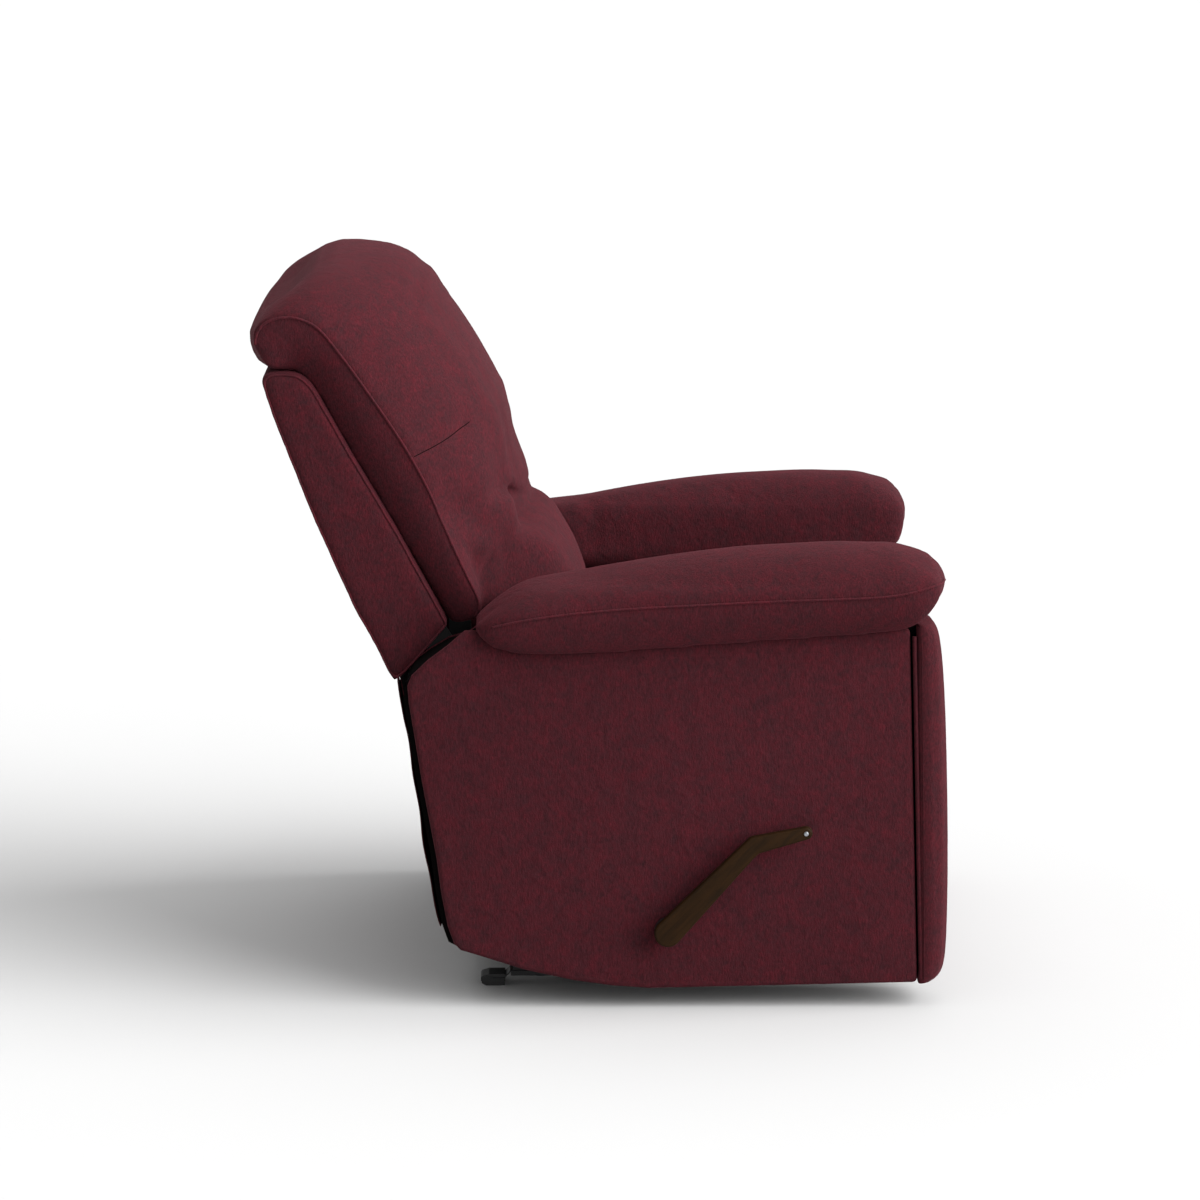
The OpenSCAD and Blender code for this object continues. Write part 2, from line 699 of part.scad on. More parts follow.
// Rivet of an open pivot: its washer hides the wide hole of the other link
module open_rivet(p, hole) {
    x = lay(main_layer);
    side(x - layer_gap + 0.4, x) disc(p, rivet_r + 3);
    side(x - layer_gap - plate_t - 0.5, x) disc(p, rivet_r);
    side(x - layer_gap - plate_t - 1.8, x - layer_gap - plate_t - 0.4) disc(p, hole + 2);
}
module link_1() {
    color("#4a4c50") {
        plate(main_layer) difference() {
            bar(pivot_1, cross, link_w);
            disc(pivot_1, rivet_r);
        }
        open_rivet(drive_end, open_r);
        open_rivet(cross, open_r);
    }
}
module link_1_left() left() link_1();
module link_1_right() right() link_1();
module link_2() {
    color("#4a4c50") plate(main_layer) difference() {
        bar(pivot_2, tail, link_w);
        disc(pivot_2, rivet_r);
        disc(mid, rivet_r);
        disc(tail, rivet_r);
    }
}
module link_2_left() left() link_2();
module link_2_right() right() link_2();
module link_3() {
    color("#4a4c50") plate(inner_layer) difference() {
        union() {
            bar(cross, rest, link_w);
            disc(cross, open_r + 4);
        }
        disc(cross, open_r);
        disc(mid, rivet_r - fit);
        disc(rest, rivet_r);
    }
}
module link_3_left() left() link_3();
module link_3_right() right() link_3();
module link_4() {
    x = lay(tail_layer);
    color("#4a4c50") {
        plate(tail_layer) difference() {
            bar(tail, toe, link_w);
            disc(tail, rivet_r - fit);
        }
        side(x - layer_gap + 0.4, x) disc(toe, rivet_r + 3);
        side(x - layer_gap - plate_t - 0.5, x) disc(toe, rivet_r);
        side(x - layer_gap - plate_t - 1.5, x - layer_gap - plate_t - 0.4) disc(toe, toe_r + 2);
    }
}
module link_4_left() left() link_4();
module link_4_right() right() link_4();

// Rivets of link 3 in link 2
module rivets_mid() {
    x = lay(inner_layer);
    y = lay(main_layer);
    color("#8c8f94") both() {
        side(x, y + plate_t + 0.4) disc(mid, rivet_r - fit);
        side(x + plate_t, y - 0.3) disc(mid, rivet_r + 3);
        side(x - 1.4, x) disc(mid, rivet_r + 3);
        side(y + plate_t + 0.3, y + plate_t + 1.6) disc(mid, rivet_r + 3);
    }
}
// Rivets of link 4 in link 2
module rivets_tail() {
    x = lay(main_layer);
    y = lay(tail_layer);
    color("#8c8f94") both() {
        side(x - 0.4, y + plate_t) disc(tail, rivet_r - fit);
        side(x + plate_t + 0.3, y) disc(tail, rivet_r + 3);
        side(x - 1.6, x - 0.3) disc(tail, rivet_r + 3);
        side(y + plate_t, y + plate_t + 1.4) disc(tail, rivet_r + 3);
    }
}

// Leg rest

board_f = 399;
board_t = 12;
flange_t = 2;
rest_low = 48;
rest_top = 368;
module legrest_board() {
    color("#8a6a45") difference() {
        side(-seat_half + 14, seat_half - 14) translate([board_f, rest_low + 6])
            square([board_t, rest_top - rest_low - 12]);
        for (x = [-110, 20]) translate([x, -board_f - board_t - 1, 175]) cube([90, board_t + 2, 80]);
    }
}
function pad_profile(x) = let (
    t = abs(x) / (seat_half - 1),
    k = pow(max(1 - pow(t, 3.2), 0), 0.6),
    b = board_f + board_t)
    curve([[b, rest_low + 3], [b + 22, rest_low], [b + 40 + 8 * k, rest_low + 16],
        [b + 46 + 12 * k, rest_low + 70], [b + 46 + 12 * k, 172], [b + 40 + 6 * k, 202],
        [b + 38 + 4 * k, 208], [b + 40 + 6 * k, 214], [b + 46 + 13 * k, 250],
        [b + 46 + 12 * k, rest_top - 50], [b + 38 + 8 * k, rest_top - 12], [b + 20, rest_top],
        [b, rest_top - 3]], 2);
module legrest_pad() {
    rows = [for (i = [-9:9]) (seat_half - 1) * sin(10 * i)];
    color("#5a1f2c") skin([for (x = rows) [for (p = pad_profile(x)) [x, -p[0], p[1]]]]);
}
// Plate with a flange screwed to the board
module legrest_bracket() {
    x = lay(main_layer);
    color("#303034") {
        plate(main_layer) difference() {
            polygon([[rest[0] - 12, rest[1] + 8], [rest[0] - 2, rest[1] + 14], [board_f, rest[1] + 22],
                [board_f, toe[1] - 46], [board_f - 6, toe[1] - 46], [toe[0] - 18, toe[1] - 12],
                [toe[0] - 18, toe[1] + 8], [rest[0] - 12, rest[1] - 12]]);
            disc(rest, rivet_r - fit);
            disc(toe, toe_r);
        }
        for (z = [[toe[1] - 46, toe[1] - 21], [rest[1] - 15, rest[1] + 22]])
            side(x - 26, x + 0.1) translate([board_f - flange_t, z[0]]) square([flange_t, z[1] - z[0]]);
    }
}
module legrest_bracket_left() left() legrest_bracket();
module legrest_bracket_right() right() legrest_bracket();
// Rivets of the brackets in link 3
module rivets_rest() {
    x = lay(inner_layer);
    y = lay(main_layer);
    color("#8c8f94") both() {
        side(x - 0.4, y + plate_t) disc(rest, rivet_r - fit);
        side(x + plate_t + 0.3, y) disc(rest, rivet_r + 3);
        side(x - 1.6, x - 0.3) disc(rest, rivet_r + 3);
        side(y + plate_t, y + plate_t + 1.4) disc(rest, rivet_r + 3);
    }
}

base_rail_left();
base_rail_right();
base_feet();
base_cross_front();
base_cross_rear();
glide_tower_left();
glide_tower_right();
glide_upper_pins();
glide_links_rear();
glide_links_front();
mechanism_rail_left();
mechanism_rail_right();
glide_lower_pins();
link_pivot_pins();
back_hinge_pins();
chassis_cross_front();
chassis_cross_rear();
seat_track_left();
seat_track_right();
rail_bolts();
arm_frame_left();
arm_frame_right();
inner_panel_left();
inner_panel_right();
side_panel_left();
side_panel_right();
arm_front_left();
arm_front_right();
arm_pillow_left();
arm_pillow_right();
rear_apron();
seat_frame();
seat_springs();
seat_cushion();
seat_slide_brackets();
back_frame();
back_pillow();
back_bracket_left();
back_bracket_right();
handle_lever();
handle_hub();
handle_screw();
drive_shaft();
drive_links();
link_1_left();
link_1_right();
link_2_left();
link_2_right();
link_3_left();
link_3_right();
link_4_left();
link_4_right();
rivets_mid();
rivets_tail();
legrest_board();
legrest_pad();
legrest_bracket_left();
legrest_bracket_right();
rivets_rest();
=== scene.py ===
import json
import math

import bmesh
import bpy
import numpy as np
from bpy.props import FloatProperty, FloatVectorProperty, IntProperty, PointerProperty
from mathutils import Matrix, Vector
from mathutils.bvhtree import BVHTree


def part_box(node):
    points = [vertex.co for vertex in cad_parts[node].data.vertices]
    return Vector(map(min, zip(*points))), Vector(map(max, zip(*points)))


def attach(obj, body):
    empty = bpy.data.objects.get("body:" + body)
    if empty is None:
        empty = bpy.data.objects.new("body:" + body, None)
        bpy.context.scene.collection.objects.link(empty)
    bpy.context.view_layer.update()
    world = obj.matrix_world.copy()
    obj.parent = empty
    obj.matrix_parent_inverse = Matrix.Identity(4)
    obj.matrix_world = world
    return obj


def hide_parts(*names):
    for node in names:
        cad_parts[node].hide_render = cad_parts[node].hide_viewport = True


bl_info = {
    "name": "Gliding Recliner",
    "version": (1, 0, 0),
    "blender": (4, 5, 0),
    "location": "View3D > Sidebar > Recliner",
    "description": "Dresses the gliding recliner's frame with its upholstery, wood and metal",
    "category": "Add Mesh",
}

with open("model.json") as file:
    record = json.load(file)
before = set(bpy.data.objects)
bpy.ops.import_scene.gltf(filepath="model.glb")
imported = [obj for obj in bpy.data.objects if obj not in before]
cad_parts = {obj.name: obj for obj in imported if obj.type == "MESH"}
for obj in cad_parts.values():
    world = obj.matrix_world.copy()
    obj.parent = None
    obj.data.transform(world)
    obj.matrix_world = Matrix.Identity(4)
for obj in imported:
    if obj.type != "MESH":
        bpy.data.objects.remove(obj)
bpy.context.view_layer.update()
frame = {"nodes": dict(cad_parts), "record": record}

MM = 0.001

# Half widths across the chair, in millimetres
BACK_HALF = 345
PANEL_IN = 408
PANEL_OUT = 426
FRONT_OUT = 429
SEAT_HALF = 301
FLAP_HALF = 394
# The lever's two faces, on the sitter's right
LEVER_OUT, LEVER_IN = -455, -441

# Heights in millimetres: the lower end of the flap's slits, and the foot of the arm pillows
SLIT_LOW = 404
ARM_PILLOW_FOOT = 545

# The back pillow's tufts, and the crease between them: its height in the middle and its half length
TUFT_X, TUFT_Z = 170, 695
CREASE, CREASE_HALF = 676, 168
# The sewn seam beside the head: where it starts across and in height, and where it ends across
HEAD_SEAM_X, HEAD_SEAM_Z, HEAD_SEAM_END = 262, 812, 344

# Side outlines as (forward, height) in millimetres. First the welt of the pillow's side
BACK_SIDE = [(-486, 928), (-482, 955), (-444, 969), (-403, 958), (-368, 917), (-323, 854),
             (-278, 786), (-241, 717), (-212, 652), (-188, 599), (-170, 563), (-180, 541)]
# The front of the pillow's middle above the roll
MIDDLE_FRONT = [(-80, 640), (-80, 662), (-85, 676), (-94, 690), (-104, 706), (-115, 731), (-124, 755),
                (-132, 799), (-140, 827), (-157, 860), (-180, 902), (-204, 943), (-228, 978), (-252, 1005)]
# The roll for the small of the back, in the pillow's middle
LUMBAR = [(-20, 530), (-21, 558), (-30, 584), (-39, 606), (-52, 629), (-67, 654), (-84, 670), (-98, 678),
          (-180, 706)]
# The crown and the rear of the pillow's middle
MIDDLE_CROWN = [(-252, 1005), (-277, 1024), (-302, 1033), (-326, 1036), (-357, 1037), (-385, 1035),
                (-410, 1025), (-429, 1006), (-445, 986), (-465, 972), (-484, 963)]
MIDDLE_REAR = [(-478, 880), (-491, 895), (-498, 912), (-501, 930), (-497, 946), (-484, 963)]
# The back's outer shell. Its first seven points lie against the pillow
SHELL = [(-217, 533), (-294, 676), (-354, 779), (-398, 859), (-407, 874), (-417, 884), (-430, 890),
         (-462, 890), (-474, 887), (-478, 879), (-461, 825), (-408, 687), (-351, 556), (-320, 500),
         (-306, 468), (-297, 452), (-285, 457), (-237, 512)]
# The side panel's lower and rear edges
PANEL_UNDER = [(335, 33), (227, 31), (117, 29), (63, 28), (9, 32), (-45, 40), (-112, 55), (-177, 76),
               (-203, 84)]
PANEL_REAR = [(-212, 93), (-221, 119), (-230, 168), (-236, 217), (-246, 272), (-256, 328), (-264, 380),
              (-273, 437), (-275, 461), (-269, 476), (-247, 497), (-218, 519), (-195, 539)]
# The line on which the rear flap hangs
FLAP_LINE = [(-287, 449), (-285, 436), (-278, 400), (-269, 352), (-260, 290), (-250, 225), (-241, 168),
             (-229, 112)]


def point(x, f, z):
    """A place in metres from its distance across, forward and up in millimetres."""
    return Vector((x * MM, -f * MM, z * MM))


def linear(code):
    """The linear numbers of a hex sRGB colour, and 1 for alpha."""
    parts = [int(code[i:i + 2], 16) / 255 for i in (1, 3, 5)]
    return tuple(c / 12.92 if c <= 0.04045 else ((c + 0.055) / 1.055) ** 2.4 for c in parts) + (1.0,)


# Sizes and colours that a user would change

class ReclinerSizes(bpy.types.PropertyGroup):
    cell: FloatProperty(name="Padding cell", description="Edge length of the padded pieces' first mesh",
                        default=0.006, min=0.004, max=0.02, unit="LENGTH")
    welt: FloatProperty(name="Welt radius", description="Radius of the covered cord sewn into the seams",
                        default=0.0023, min=0.001, max=0.006, unit="LENGTH")
    pressure: FloatProperty(name="Filling pressure", description="How hard the filling presses on its cover",
                            default=4.0, min=0.0, max=12.0)
    steps: IntProperty(name="Filling steps", description="Steps of the filling simulation",
                       default=20, min=5, max=40)


class ReclinerColours(bpy.types.PropertyGroup):
    cloth: FloatVectorProperty(name="Cloth", description="Main colour of the brushed cloth", subtype="COLOR",
                               size=4, min=0, max=1, default=linear("#3C191E"))
    cloth_warm: FloatVectorProperty(name="Warm patches", description="Brick-red patches of the brushed cloth",
                                    subtype="COLOR", size=4, min=0, max=1, default=linear("#491A20"))
    cloth_grey: FloatVectorProperty(name="Grey patches", description="Greyer patches of the brushed cloth",
                                    subtype="COLOR", size=4, min=0, max=1, default=linear("#2F181C"))
    wood: FloatVectorProperty(name="Lever wood", description="Stained wood of the lever", subtype="COLOR",
                              size=4, min=0, max=1, default=linear("#281808"))
    floor: FloatVectorProperty(name="Floor", description="Colour of the studio floor", subtype="COLOR",
                               size=4, min=0, max=1, default=linear("#BFBFBF"))


def sizes():
    """The sizes that the panel shows."""
    return bpy.context.scene.recliner_sizes


def colours():
    """The colours that the panel shows."""
    return bpy.context.scene.recliner_colours


# Modelling helpers

def only_none():
    """Leaves nothing selected, in object mode."""
    if bpy.context.object and bpy.context.object.mode != "OBJECT":
        bpy.ops.object.mode_set(mode="OBJECT")
    bpy.ops.object.select_all(action="DESELECT")


def only(obj):
    """Leaves one object selected and active."""
    only_none()
    obj.select_set(True)
    bpy.context.view_layer.objects.active = obj


def modify(obj, kind, **settings):
    """Adds a modifier and applies it."""
    only(obj)
    mod = obj.modifiers.new(kind.lower(), kind)
    for key, value in settings.items():
        setattr(mod, key, value)
    bpy.ops.object.modifier_apply(modifier=mod.name)


def places(obj):
    """Every point of a mesh, in metres."""
    co = np.empty(len(obj.data.vertices) * 3)
    obj.data.vertices.foreach_get("co", co)
    return co.reshape(-1, 3)


def place(obj, co):
    """Puts every point of a mesh in its new place."""
    obj.data.vertices.foreach_set("co", np.asarray(co, float).ravel())
    obj.data.update()


def normals(obj):
    """The direction that the surface faces at every point."""
    out = np.empty(len(obj.data.vertices) * 3)
    obj.data.vertex_normals.foreach_get("vector", out)
    return out.reshape(-1, 3)


def smooth(obj, angle=None):
    """Shades a piece smooth, or only across edges of less than the angle in degrees."""
    only(obj)
    if angle is None:
        bpy.ops.object.shade_smooth()
    else:
        bpy.ops.object.shade_smooth_by_angle(angle=math.radians(angle))


def millimetres(co):
    """How far across, forward and up each point is, in millimetres."""
    return co[:, 0] / MM, -co[:, 1] / MM, co[:, 2] / MM


def finer(obj):
    """Splits each face in four on a rounder surface, and shades it smooth."""
    modify(obj, "SUBSURF", levels=1, render_levels=1)
    smooth(obj)


def both_sides(line):
    """A line and its mirror image on the other side of the chair."""
    return [line, [Vector((-p.x, p.y, p.z)) for p in line]]


def copy_of(node, name):
    """A merged copy of a CAD solid's mesh, as the start of a padded piece."""
    obj = bpy.data.objects.new(name, frame["nodes"][node].data.copy())
    bpy.context.collection.objects.link(obj)
    obj.data.materials.clear()
    only(obj)
    bpy.ops.object.mode_set(mode="EDIT")
    bpy.ops.mesh.select_all(action="SELECT")
    bpy.ops.mesh.remove_doubles(threshold=0.00002)
    bpy.ops.object.mode_set(mode="OBJECT")
    return obj


def outline_solid(name, outline, x0, x1):
    """A panel cut to a side outline and as thick as x0 to x1."""
    only_none()
    bpy.ops.mesh.primitive_circle_add(vertices=len(outline), fill_type="NGON")
    obj = bpy.context.object
    obj.name = name
    obj.data.name = name
    for vert, (f, z) in zip(obj.data.vertices, outline):
        vert.co = point(x0, f, z)
    obj.matrix_world = Matrix.Identity(4)
    bpy.ops.object.mode_set(mode="EDIT")
    bpy.ops.mesh.select_all(action="SELECT")
    bpy.ops.mesh.extrude_region_move(TRANSFORM_OT_translate={"value": ((x1 - x0) * MM, 0, 0)})
    bpy.ops.mesh.select_all(action="SELECT")
    bpy.ops.mesh.normals_make_consistent(inside=False)
    bpy.ops.object.mode_set(mode="OBJECT")
    return obj


def curve_points(points, step):
    """Points about a step apart on a smooth curve through the given ones."""
    p = [Vector(v) for v in points]
    out = []
    for i in range(len(p) - 1):
        a, b, c, d = p[max(i - 1, 0)], p[i], p[i + 1], p[min(i + 2, len(p) - 1)]
        count = max(1, round((c - b).length / step))
        for j in range(count):
            t = j / count
            out.append(0.5 * (2 * b + (c - a) * t + (2 * a - 5 * b + 4 * c - d) * t ** 2
                              + (3 * b - a - 3 * c + d) * t ** 3))
    return out + [p[-1]]


def snapped(obj, points, lift, passes=6):
    """The points laid on a piece's surface, evened out, and raised by lift."""
    bm = bmesh.new()
    bm.from_mesh(obj.data)
    tree = BVHTree.FromBMesh(bm)
    bm.free()
    line = [Vector(p) for p in points]
    for _ in range(passes):
        line = [tree.find_nearest(p)[0] for p in line]
        between = [(a + 2 * b + c) / 4 for a, b, c in zip(line, line[1:], line[2:])]
        line = [line[0]] + between + [line[-1]]
    out = []
    for p in line:
        spot, normal, _, _ = tree.find_nearest(p)
        out.append(spot + normal * lift)
    return out


def cord_mesh(name, lines, radius, closed=False):
    """A round cord along each line, as one mesh piece."""
    curve = bpy.data.curves.new(name, "CURVE")
    curve.dimensions = "3D"
    curve.bevel_depth = radius
    curve.bevel_resolution = 3
    curve.use_fill_caps = not closed
    for line in lines:
        spline = curve.splines.new("POLY")
        spline.points.add(len(line) - 1)
        for spot, p in zip(spline.points, line):
            spot.co = (*p, 1)
        spline.use_cyclic_u = closed
    obj = bpy.data.objects.new(name, curve)
    bpy.context.collection.objects.link(obj)
    only(obj)
    bpy.ops.object.convert(target="MESH")
    obj = bpy.context.object
    smooth(obj)
    return obj


def mirrored(obj, name):
    """A copy of a piece on the other side of the chair."""
    twin = obj.copy()
    twin.data = obj.data.copy()
    twin.name = name
    twin.data.name = name
    bpy.context.collection.objects.link(twin)
    co = places(twin)
    co[:, 0] *= -1
    place(twin, co)
    only(twin)
    bpy.ops.object.mode_set(mode="EDIT")
    bpy.ops.mesh.select_all(action="SELECT")
    bpy.ops.mesh.flip_normals()
    bpy.ops.object.mode_set(mode="OBJECT")
    return twin


def bell(d, width):
    """1 at a distance of nothing, falling smoothly to almost 0 at twice the width."""
    return np.exp(-(d / width) ** 2)


def ramp(v, low, high):
    """0 up to low, 1 from high on, and smooth between."""
    t = np.clip((v - low) / (high - low), 0, 1)
    return t * t * (3 - 2 * t)


def drawn_to_outline(pad):
    """Draws the back pillow's middle to its side outlines, less and less towards its sides."""
    co = places(pad)
    x, f, z = millimetres(co)
    x = np.abs(x)
    middle = x < 8
    share = 1 - ramp(x, 128, 320)
    ahead = ramp(f + (z - 541) * 0.85, -150, -90)
    levels = np.arange(545, 1005, 8.0)
    now = np.array([f[middle & (np.abs(z - v) < 9)].max(initial=-400) for v in levels])
    want = np.interp(levels, [p[1] for p in MIDDLE_FRONT], [p[0] for p in MIDDLE_FRONT])
    forward = (np.interp(z, levels, want) - np.interp(z, levels, now)) * (1 - ramp(z, 960, 1010)) * share
    # The roll is highest in the middle, and its crease rises to the tufts
    side = np.clip(x / CREASE_HALF, 0, 1.3)
    crease = CREASE + 22 * np.minimum(side, 1) ** 2
    roll = np.interp(z + 36 * side ** 1.3, [p[1] for p in LUMBAR], [p[0] for p in LUMBAR])
    roll = np.maximum(roll, -98 - 36 * side ** 2) - f
    below = 1 - ramp(z - crease, -4, 5)
    near = 1 - ramp(x, 140, 235)
    # Above the crease the face falls back from the middle to the tufts
    fall = 20 * np.minimum(side, 1) ** 2 * bell(z - 702, 42) * (1 - ramp(x, 200, 290))
    forward = ((forward - fall) * (1 - below) + roll * near * below) * ahead
    spots = np.arange(-486, -240, 6.0)
    top = np.array([z[middle & (np.abs(f - v) < 7)].max(initial=900) for v in spots])
    crown = sorted(MIDDLE_CROWN)
    high = np.interp(spots, [p[0] for p in crown], [p[1] for p in crown])
    up = np.interp(f, spots, high - top) * ramp(z, 943, 970) * ramp(-f, 225, 275) * share
    heights = np.arange(880, 968, 6.0)
    back = np.array([f[middle & (np.abs(z - v) < 7)].min(initial=-470) for v in heights])
    rear = np.interp(heights, [p[1] for p in MIDDLE_REAR], [p[0] for p in MIDDLE_REAR])
    behind = np.interp(z, heights, rear - back) * ramp(-f, 420, 470) * ramp(z, 880, 900)
    behind = behind * (1 - ramp(z, 965, 990))
    co[:, 1] -= (forward + behind * (1 - ramp(x, 250, 335))) * MM
    co[:, 2] += up * MM
    place(pad, co)


def near_line(co, line, width):
    """How close each point is to a line, 1 on it and 0 beyond the width."""
    p = np.array([list(v) for v in line])
    best = np.full(len(co), 1e9)
    for a, b in zip(p[:-1], p[1:]):
        run = b - a
        t = np.clip(((co - a) @ run) / max(run @ run, 1e-12), 0, 1)
        d = np.linalg.norm(co - (a + t[:, None] * run), axis=1)
        best = np.minimum(best, d)
    return bell(best, width)


def near_lines(co, lines, width):
    """How close each point is to the nearer of two lines, 1 on it and 0 beyond the width."""
    return np.maximum(near_line(co, lines[0], width), near_line(co, lines[1], width))


def in_tenths(obj, name, share):
    """A vertex group that holds each point by its share, to the nearest tenth."""
    group = obj.vertex_groups.new(name=name)
    for level in range(1, 11):
        picked = np.nonzero(np.round(share * 10) == level)[0]
        if len(picked):
            group.add(picked.tolist(), level / 10, "REPLACE")


def fill_up(obj, held, cap):
    """Swells a cover with cloth simulation. Points with held near 1 stay, and none moves past the cap."""
    start = places(obj)
    in_tenths(obj, "held", held)
    only(obj)
    cloth = obj.modifiers.new("filling", "CLOTH")
    cloth.settings.quality = 4
    cloth.settings.mass = 0.3
    cloth.settings.tension_stiffness = 12
    cloth.settings.compression_stiffness = 12
    cloth.settings.shear_stiffness = 6
    cloth.settings.bending_stiffness = 0.8
    cloth.settings.vertex_group_mass = "held"
    cloth.settings.use_pressure = True
    cloth.settings.uniform_pressure_force = sizes().pressure
    cloth.settings.effector_weights.gravity = 0
    cloth.collision_settings.use_collision = False
    cloth.point_cache.frame_start = 1
    cloth.point_cache.frame_end = sizes().steps
    scene = bpy.context.scene
    for number in range(1, sizes().steps + 1):
        scene.frame_set(number)
    shaped = obj.evaluated_get(bpy.context.evaluated_depsgraph_get())
    co = places(shaped)
    obj.modifiers.remove(cloth)
    obj.vertex_groups.clear()
    scene.frame_set(1)
    move = co - start
    size = np.linalg.norm(move, axis=1)
    share = np.tanh(size / cap) * cap / np.maximum(size, 1e-9)
    place(obj, start + move * share[:, None])


def even(obj, rounds, held=None, factor=0.5):
    """Evens a cover's surface, less where it is held."""
    if held is None:
        modify(obj, "SMOOTH", factor=factor, iterations=rounds)
        return
    in_tenths(obj, "free", 1 - held)
    modify(obj, "SMOOTH", factor=factor, iterations=rounds, vertex_group="free")
    obj.vertex_groups.clear()


def wear(obj, mat):
    """Gives a piece one material in place of those it has."""
    obj.data.materials.clear()
    obj.data.materials.append(mat)


def ready(obj, body, mat, nodes=()):
    """Gives a finished piece its material, body and place in the frame."""
    wear(obj, mat)
    if nodes:
        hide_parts(*nodes)
    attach(obj, body)


# Materials

def add(tree, kind, links=None, **settings):
    """Adds a node. links gives each input a value or another node's output."""
    made = tree.nodes.new(kind)
    for key, value in settings.items():
        setattr(made, key, value)
    for key, value in (links or {}).items():
        if isinstance(value, bpy.types.NodeSocket):
            tree.links.new(value, made.inputs[key])
        else:
            made.inputs[key].default_value = value
    return made


def material(name):
    """A new material with its tree emptied but for the output and the shader."""
    mat = bpy.data.materials.new(name)
    mat.use_nodes = True
    tree = mat.node_tree
    tree.nodes.clear()
    shader = add(tree, "ShaderNodeBsdfPrincipled")
    out = add(tree, "ShaderNodeOutputMaterial")
    tree.links.new(shader.outputs[0], out.inputs[0])
    return mat, tree, shader


def stops(ramp_node, *pairs):
    """Sets a colour ramp's stops from (place, colour) pairs."""
    elements = ramp_node.color_ramp.elements
    while len(elements) > len(pairs):
        elements.remove(elements[-1])
    while len(elements) < len(pairs):
        elements.new(1)
    for element, (spot, colour) in zip(elements, pairs):
        element.position = spot
        element.color = colour


def brushed_cloth(name, shade=1.0):
    """Brushed polyester suede: a matt nap with cloudy brick-red and greyer patches and a pale bloom where it
    is seen edge on."""
    c = colours()
    mat, tree, shader = material(name)
    where = add(tree, "ShaderNodeTexCoord").outputs["Object"]
    # Clouds of rubbed nap, about 25 mm across
    cloud = add(tree, "ShaderNodeTexNoise", {"Vector": where, "Scale": 38.0, "Detail": 6.0, "Roughness": 0.68,
                                             "Distortion": 0.4})
    # Tufts of nap, about 6 mm across
    tuft = add(tree, "ShaderNodeTexNoise", {"Vector": where, "Scale": 170.0, "Detail": 4.0, "Roughness": 0.7})
    # Fibre ends, drawn 2 mm across and 6 mm long down the cloth so that they show
    combed = add(tree, "ShaderNodeMapping", {"Vector": where, "Scale": (520.0, 520.0, 170.0)})
    fibre = add(tree, "ShaderNodeTexNoise", {"Vector": combed.outputs[0], "Scale": 1.0, "Detail": 3.0,
                                             "Roughness": 0.7})
    # Rubbed veins where the nap has parted, about 30 mm long
    vein = add(tree, "ShaderNodeTexNoise", {"Vector": where, "Scale": 30.0, "Detail": 5.0, "Roughness": 0.6,
                                            "Distortion": 1.2}, noise_type="RIDGED_MULTIFRACTAL")
    warm = add(tree, "ShaderNodeValToRGB", {"Fac": cloud.outputs["Fac"]})
    stops(warm, (0.34, tuple(c.cloth_grey)), (0.5, tuple(c.cloth)), (0.68, tuple(c.cloth_warm)))
    fine = add(tree, "ShaderNodeValToRGB", {"Fac": tuft.outputs["Fac"]})
    stops(fine, (0.32, tuple(c.cloth_grey)), (0.5, tuple(c.cloth)), (0.7, tuple(c.cloth_warm)))
    both = add(tree, "ShaderNodeMix", {"Factor": 0.5}, data_type="RGBA", blend_type="MIX")
    for socket, value in zip([s for s in both.inputs if s.type == "RGBA"], (warm, fine)):
        tree.links.new(value.outputs[0], socket)
    mixed = [s for s in both.outputs if s.type == "RGBA"][0]
    # shade scales the cloth's brightness: under 1 it paints shade, over 1 it paints a highlight
    grain = add(tree, "ShaderNodeMapRange", {"Value": fibre.outputs["Fac"], "From Min": 0.28,
                                             "From Max": 0.72, "To Min": 0.6 * shade, "To Max": 1.4 * shade})
    rubbed = add(tree, "ShaderNodeMapRange", {"Value": vein.outputs["Fac"], "From Min": 0.5, "From Max": 1.6,
                                              "To Min": 0.88, "To Max": 1.3})
    level = add(tree, "ShaderNodeMath", {0: grain.outputs[0], 1: rubbed.outputs[0]}, operation="MULTIPLY")
    tone = add(tree, "ShaderNodeHueSaturation", {"Color": mixed, "Value": level.outputs[0],
                                                 "Saturation": 1.06})
    tree.links.new(tone.outputs[0], shader.inputs["Base Color"])
    shader.inputs["Roughness"].default_value = 0.92
    shader.inputs["Specular IOR Level"].default_value = 0.1
    shader.inputs["Sheen Weight"].default_value = 0.15
    shader.inputs["Sheen Roughness"].default_value = 0.4
    shader.inputs["Sheen Tint"].default_value = linear("#B05866")
    nap = add(tree, "ShaderNodeMath", {0: tuft.outputs["Fac"], 1: fibre.outputs["Fac"]}, operation="ADD")
    bump = add(tree, "ShaderNodeBump", {"Height": nap.outputs[0], "Strength": 0.55, "Distance": 0.0014})
    soft = add(tree, "ShaderNodeBump", {"Height": vein.outputs["Fac"], "Normal": bump.outputs[0],
                                        "Strength": 0.4, "Distance": 0.003})
    tree.links.new(soft.outputs[0], shader.inputs["Normal"])
    return mat


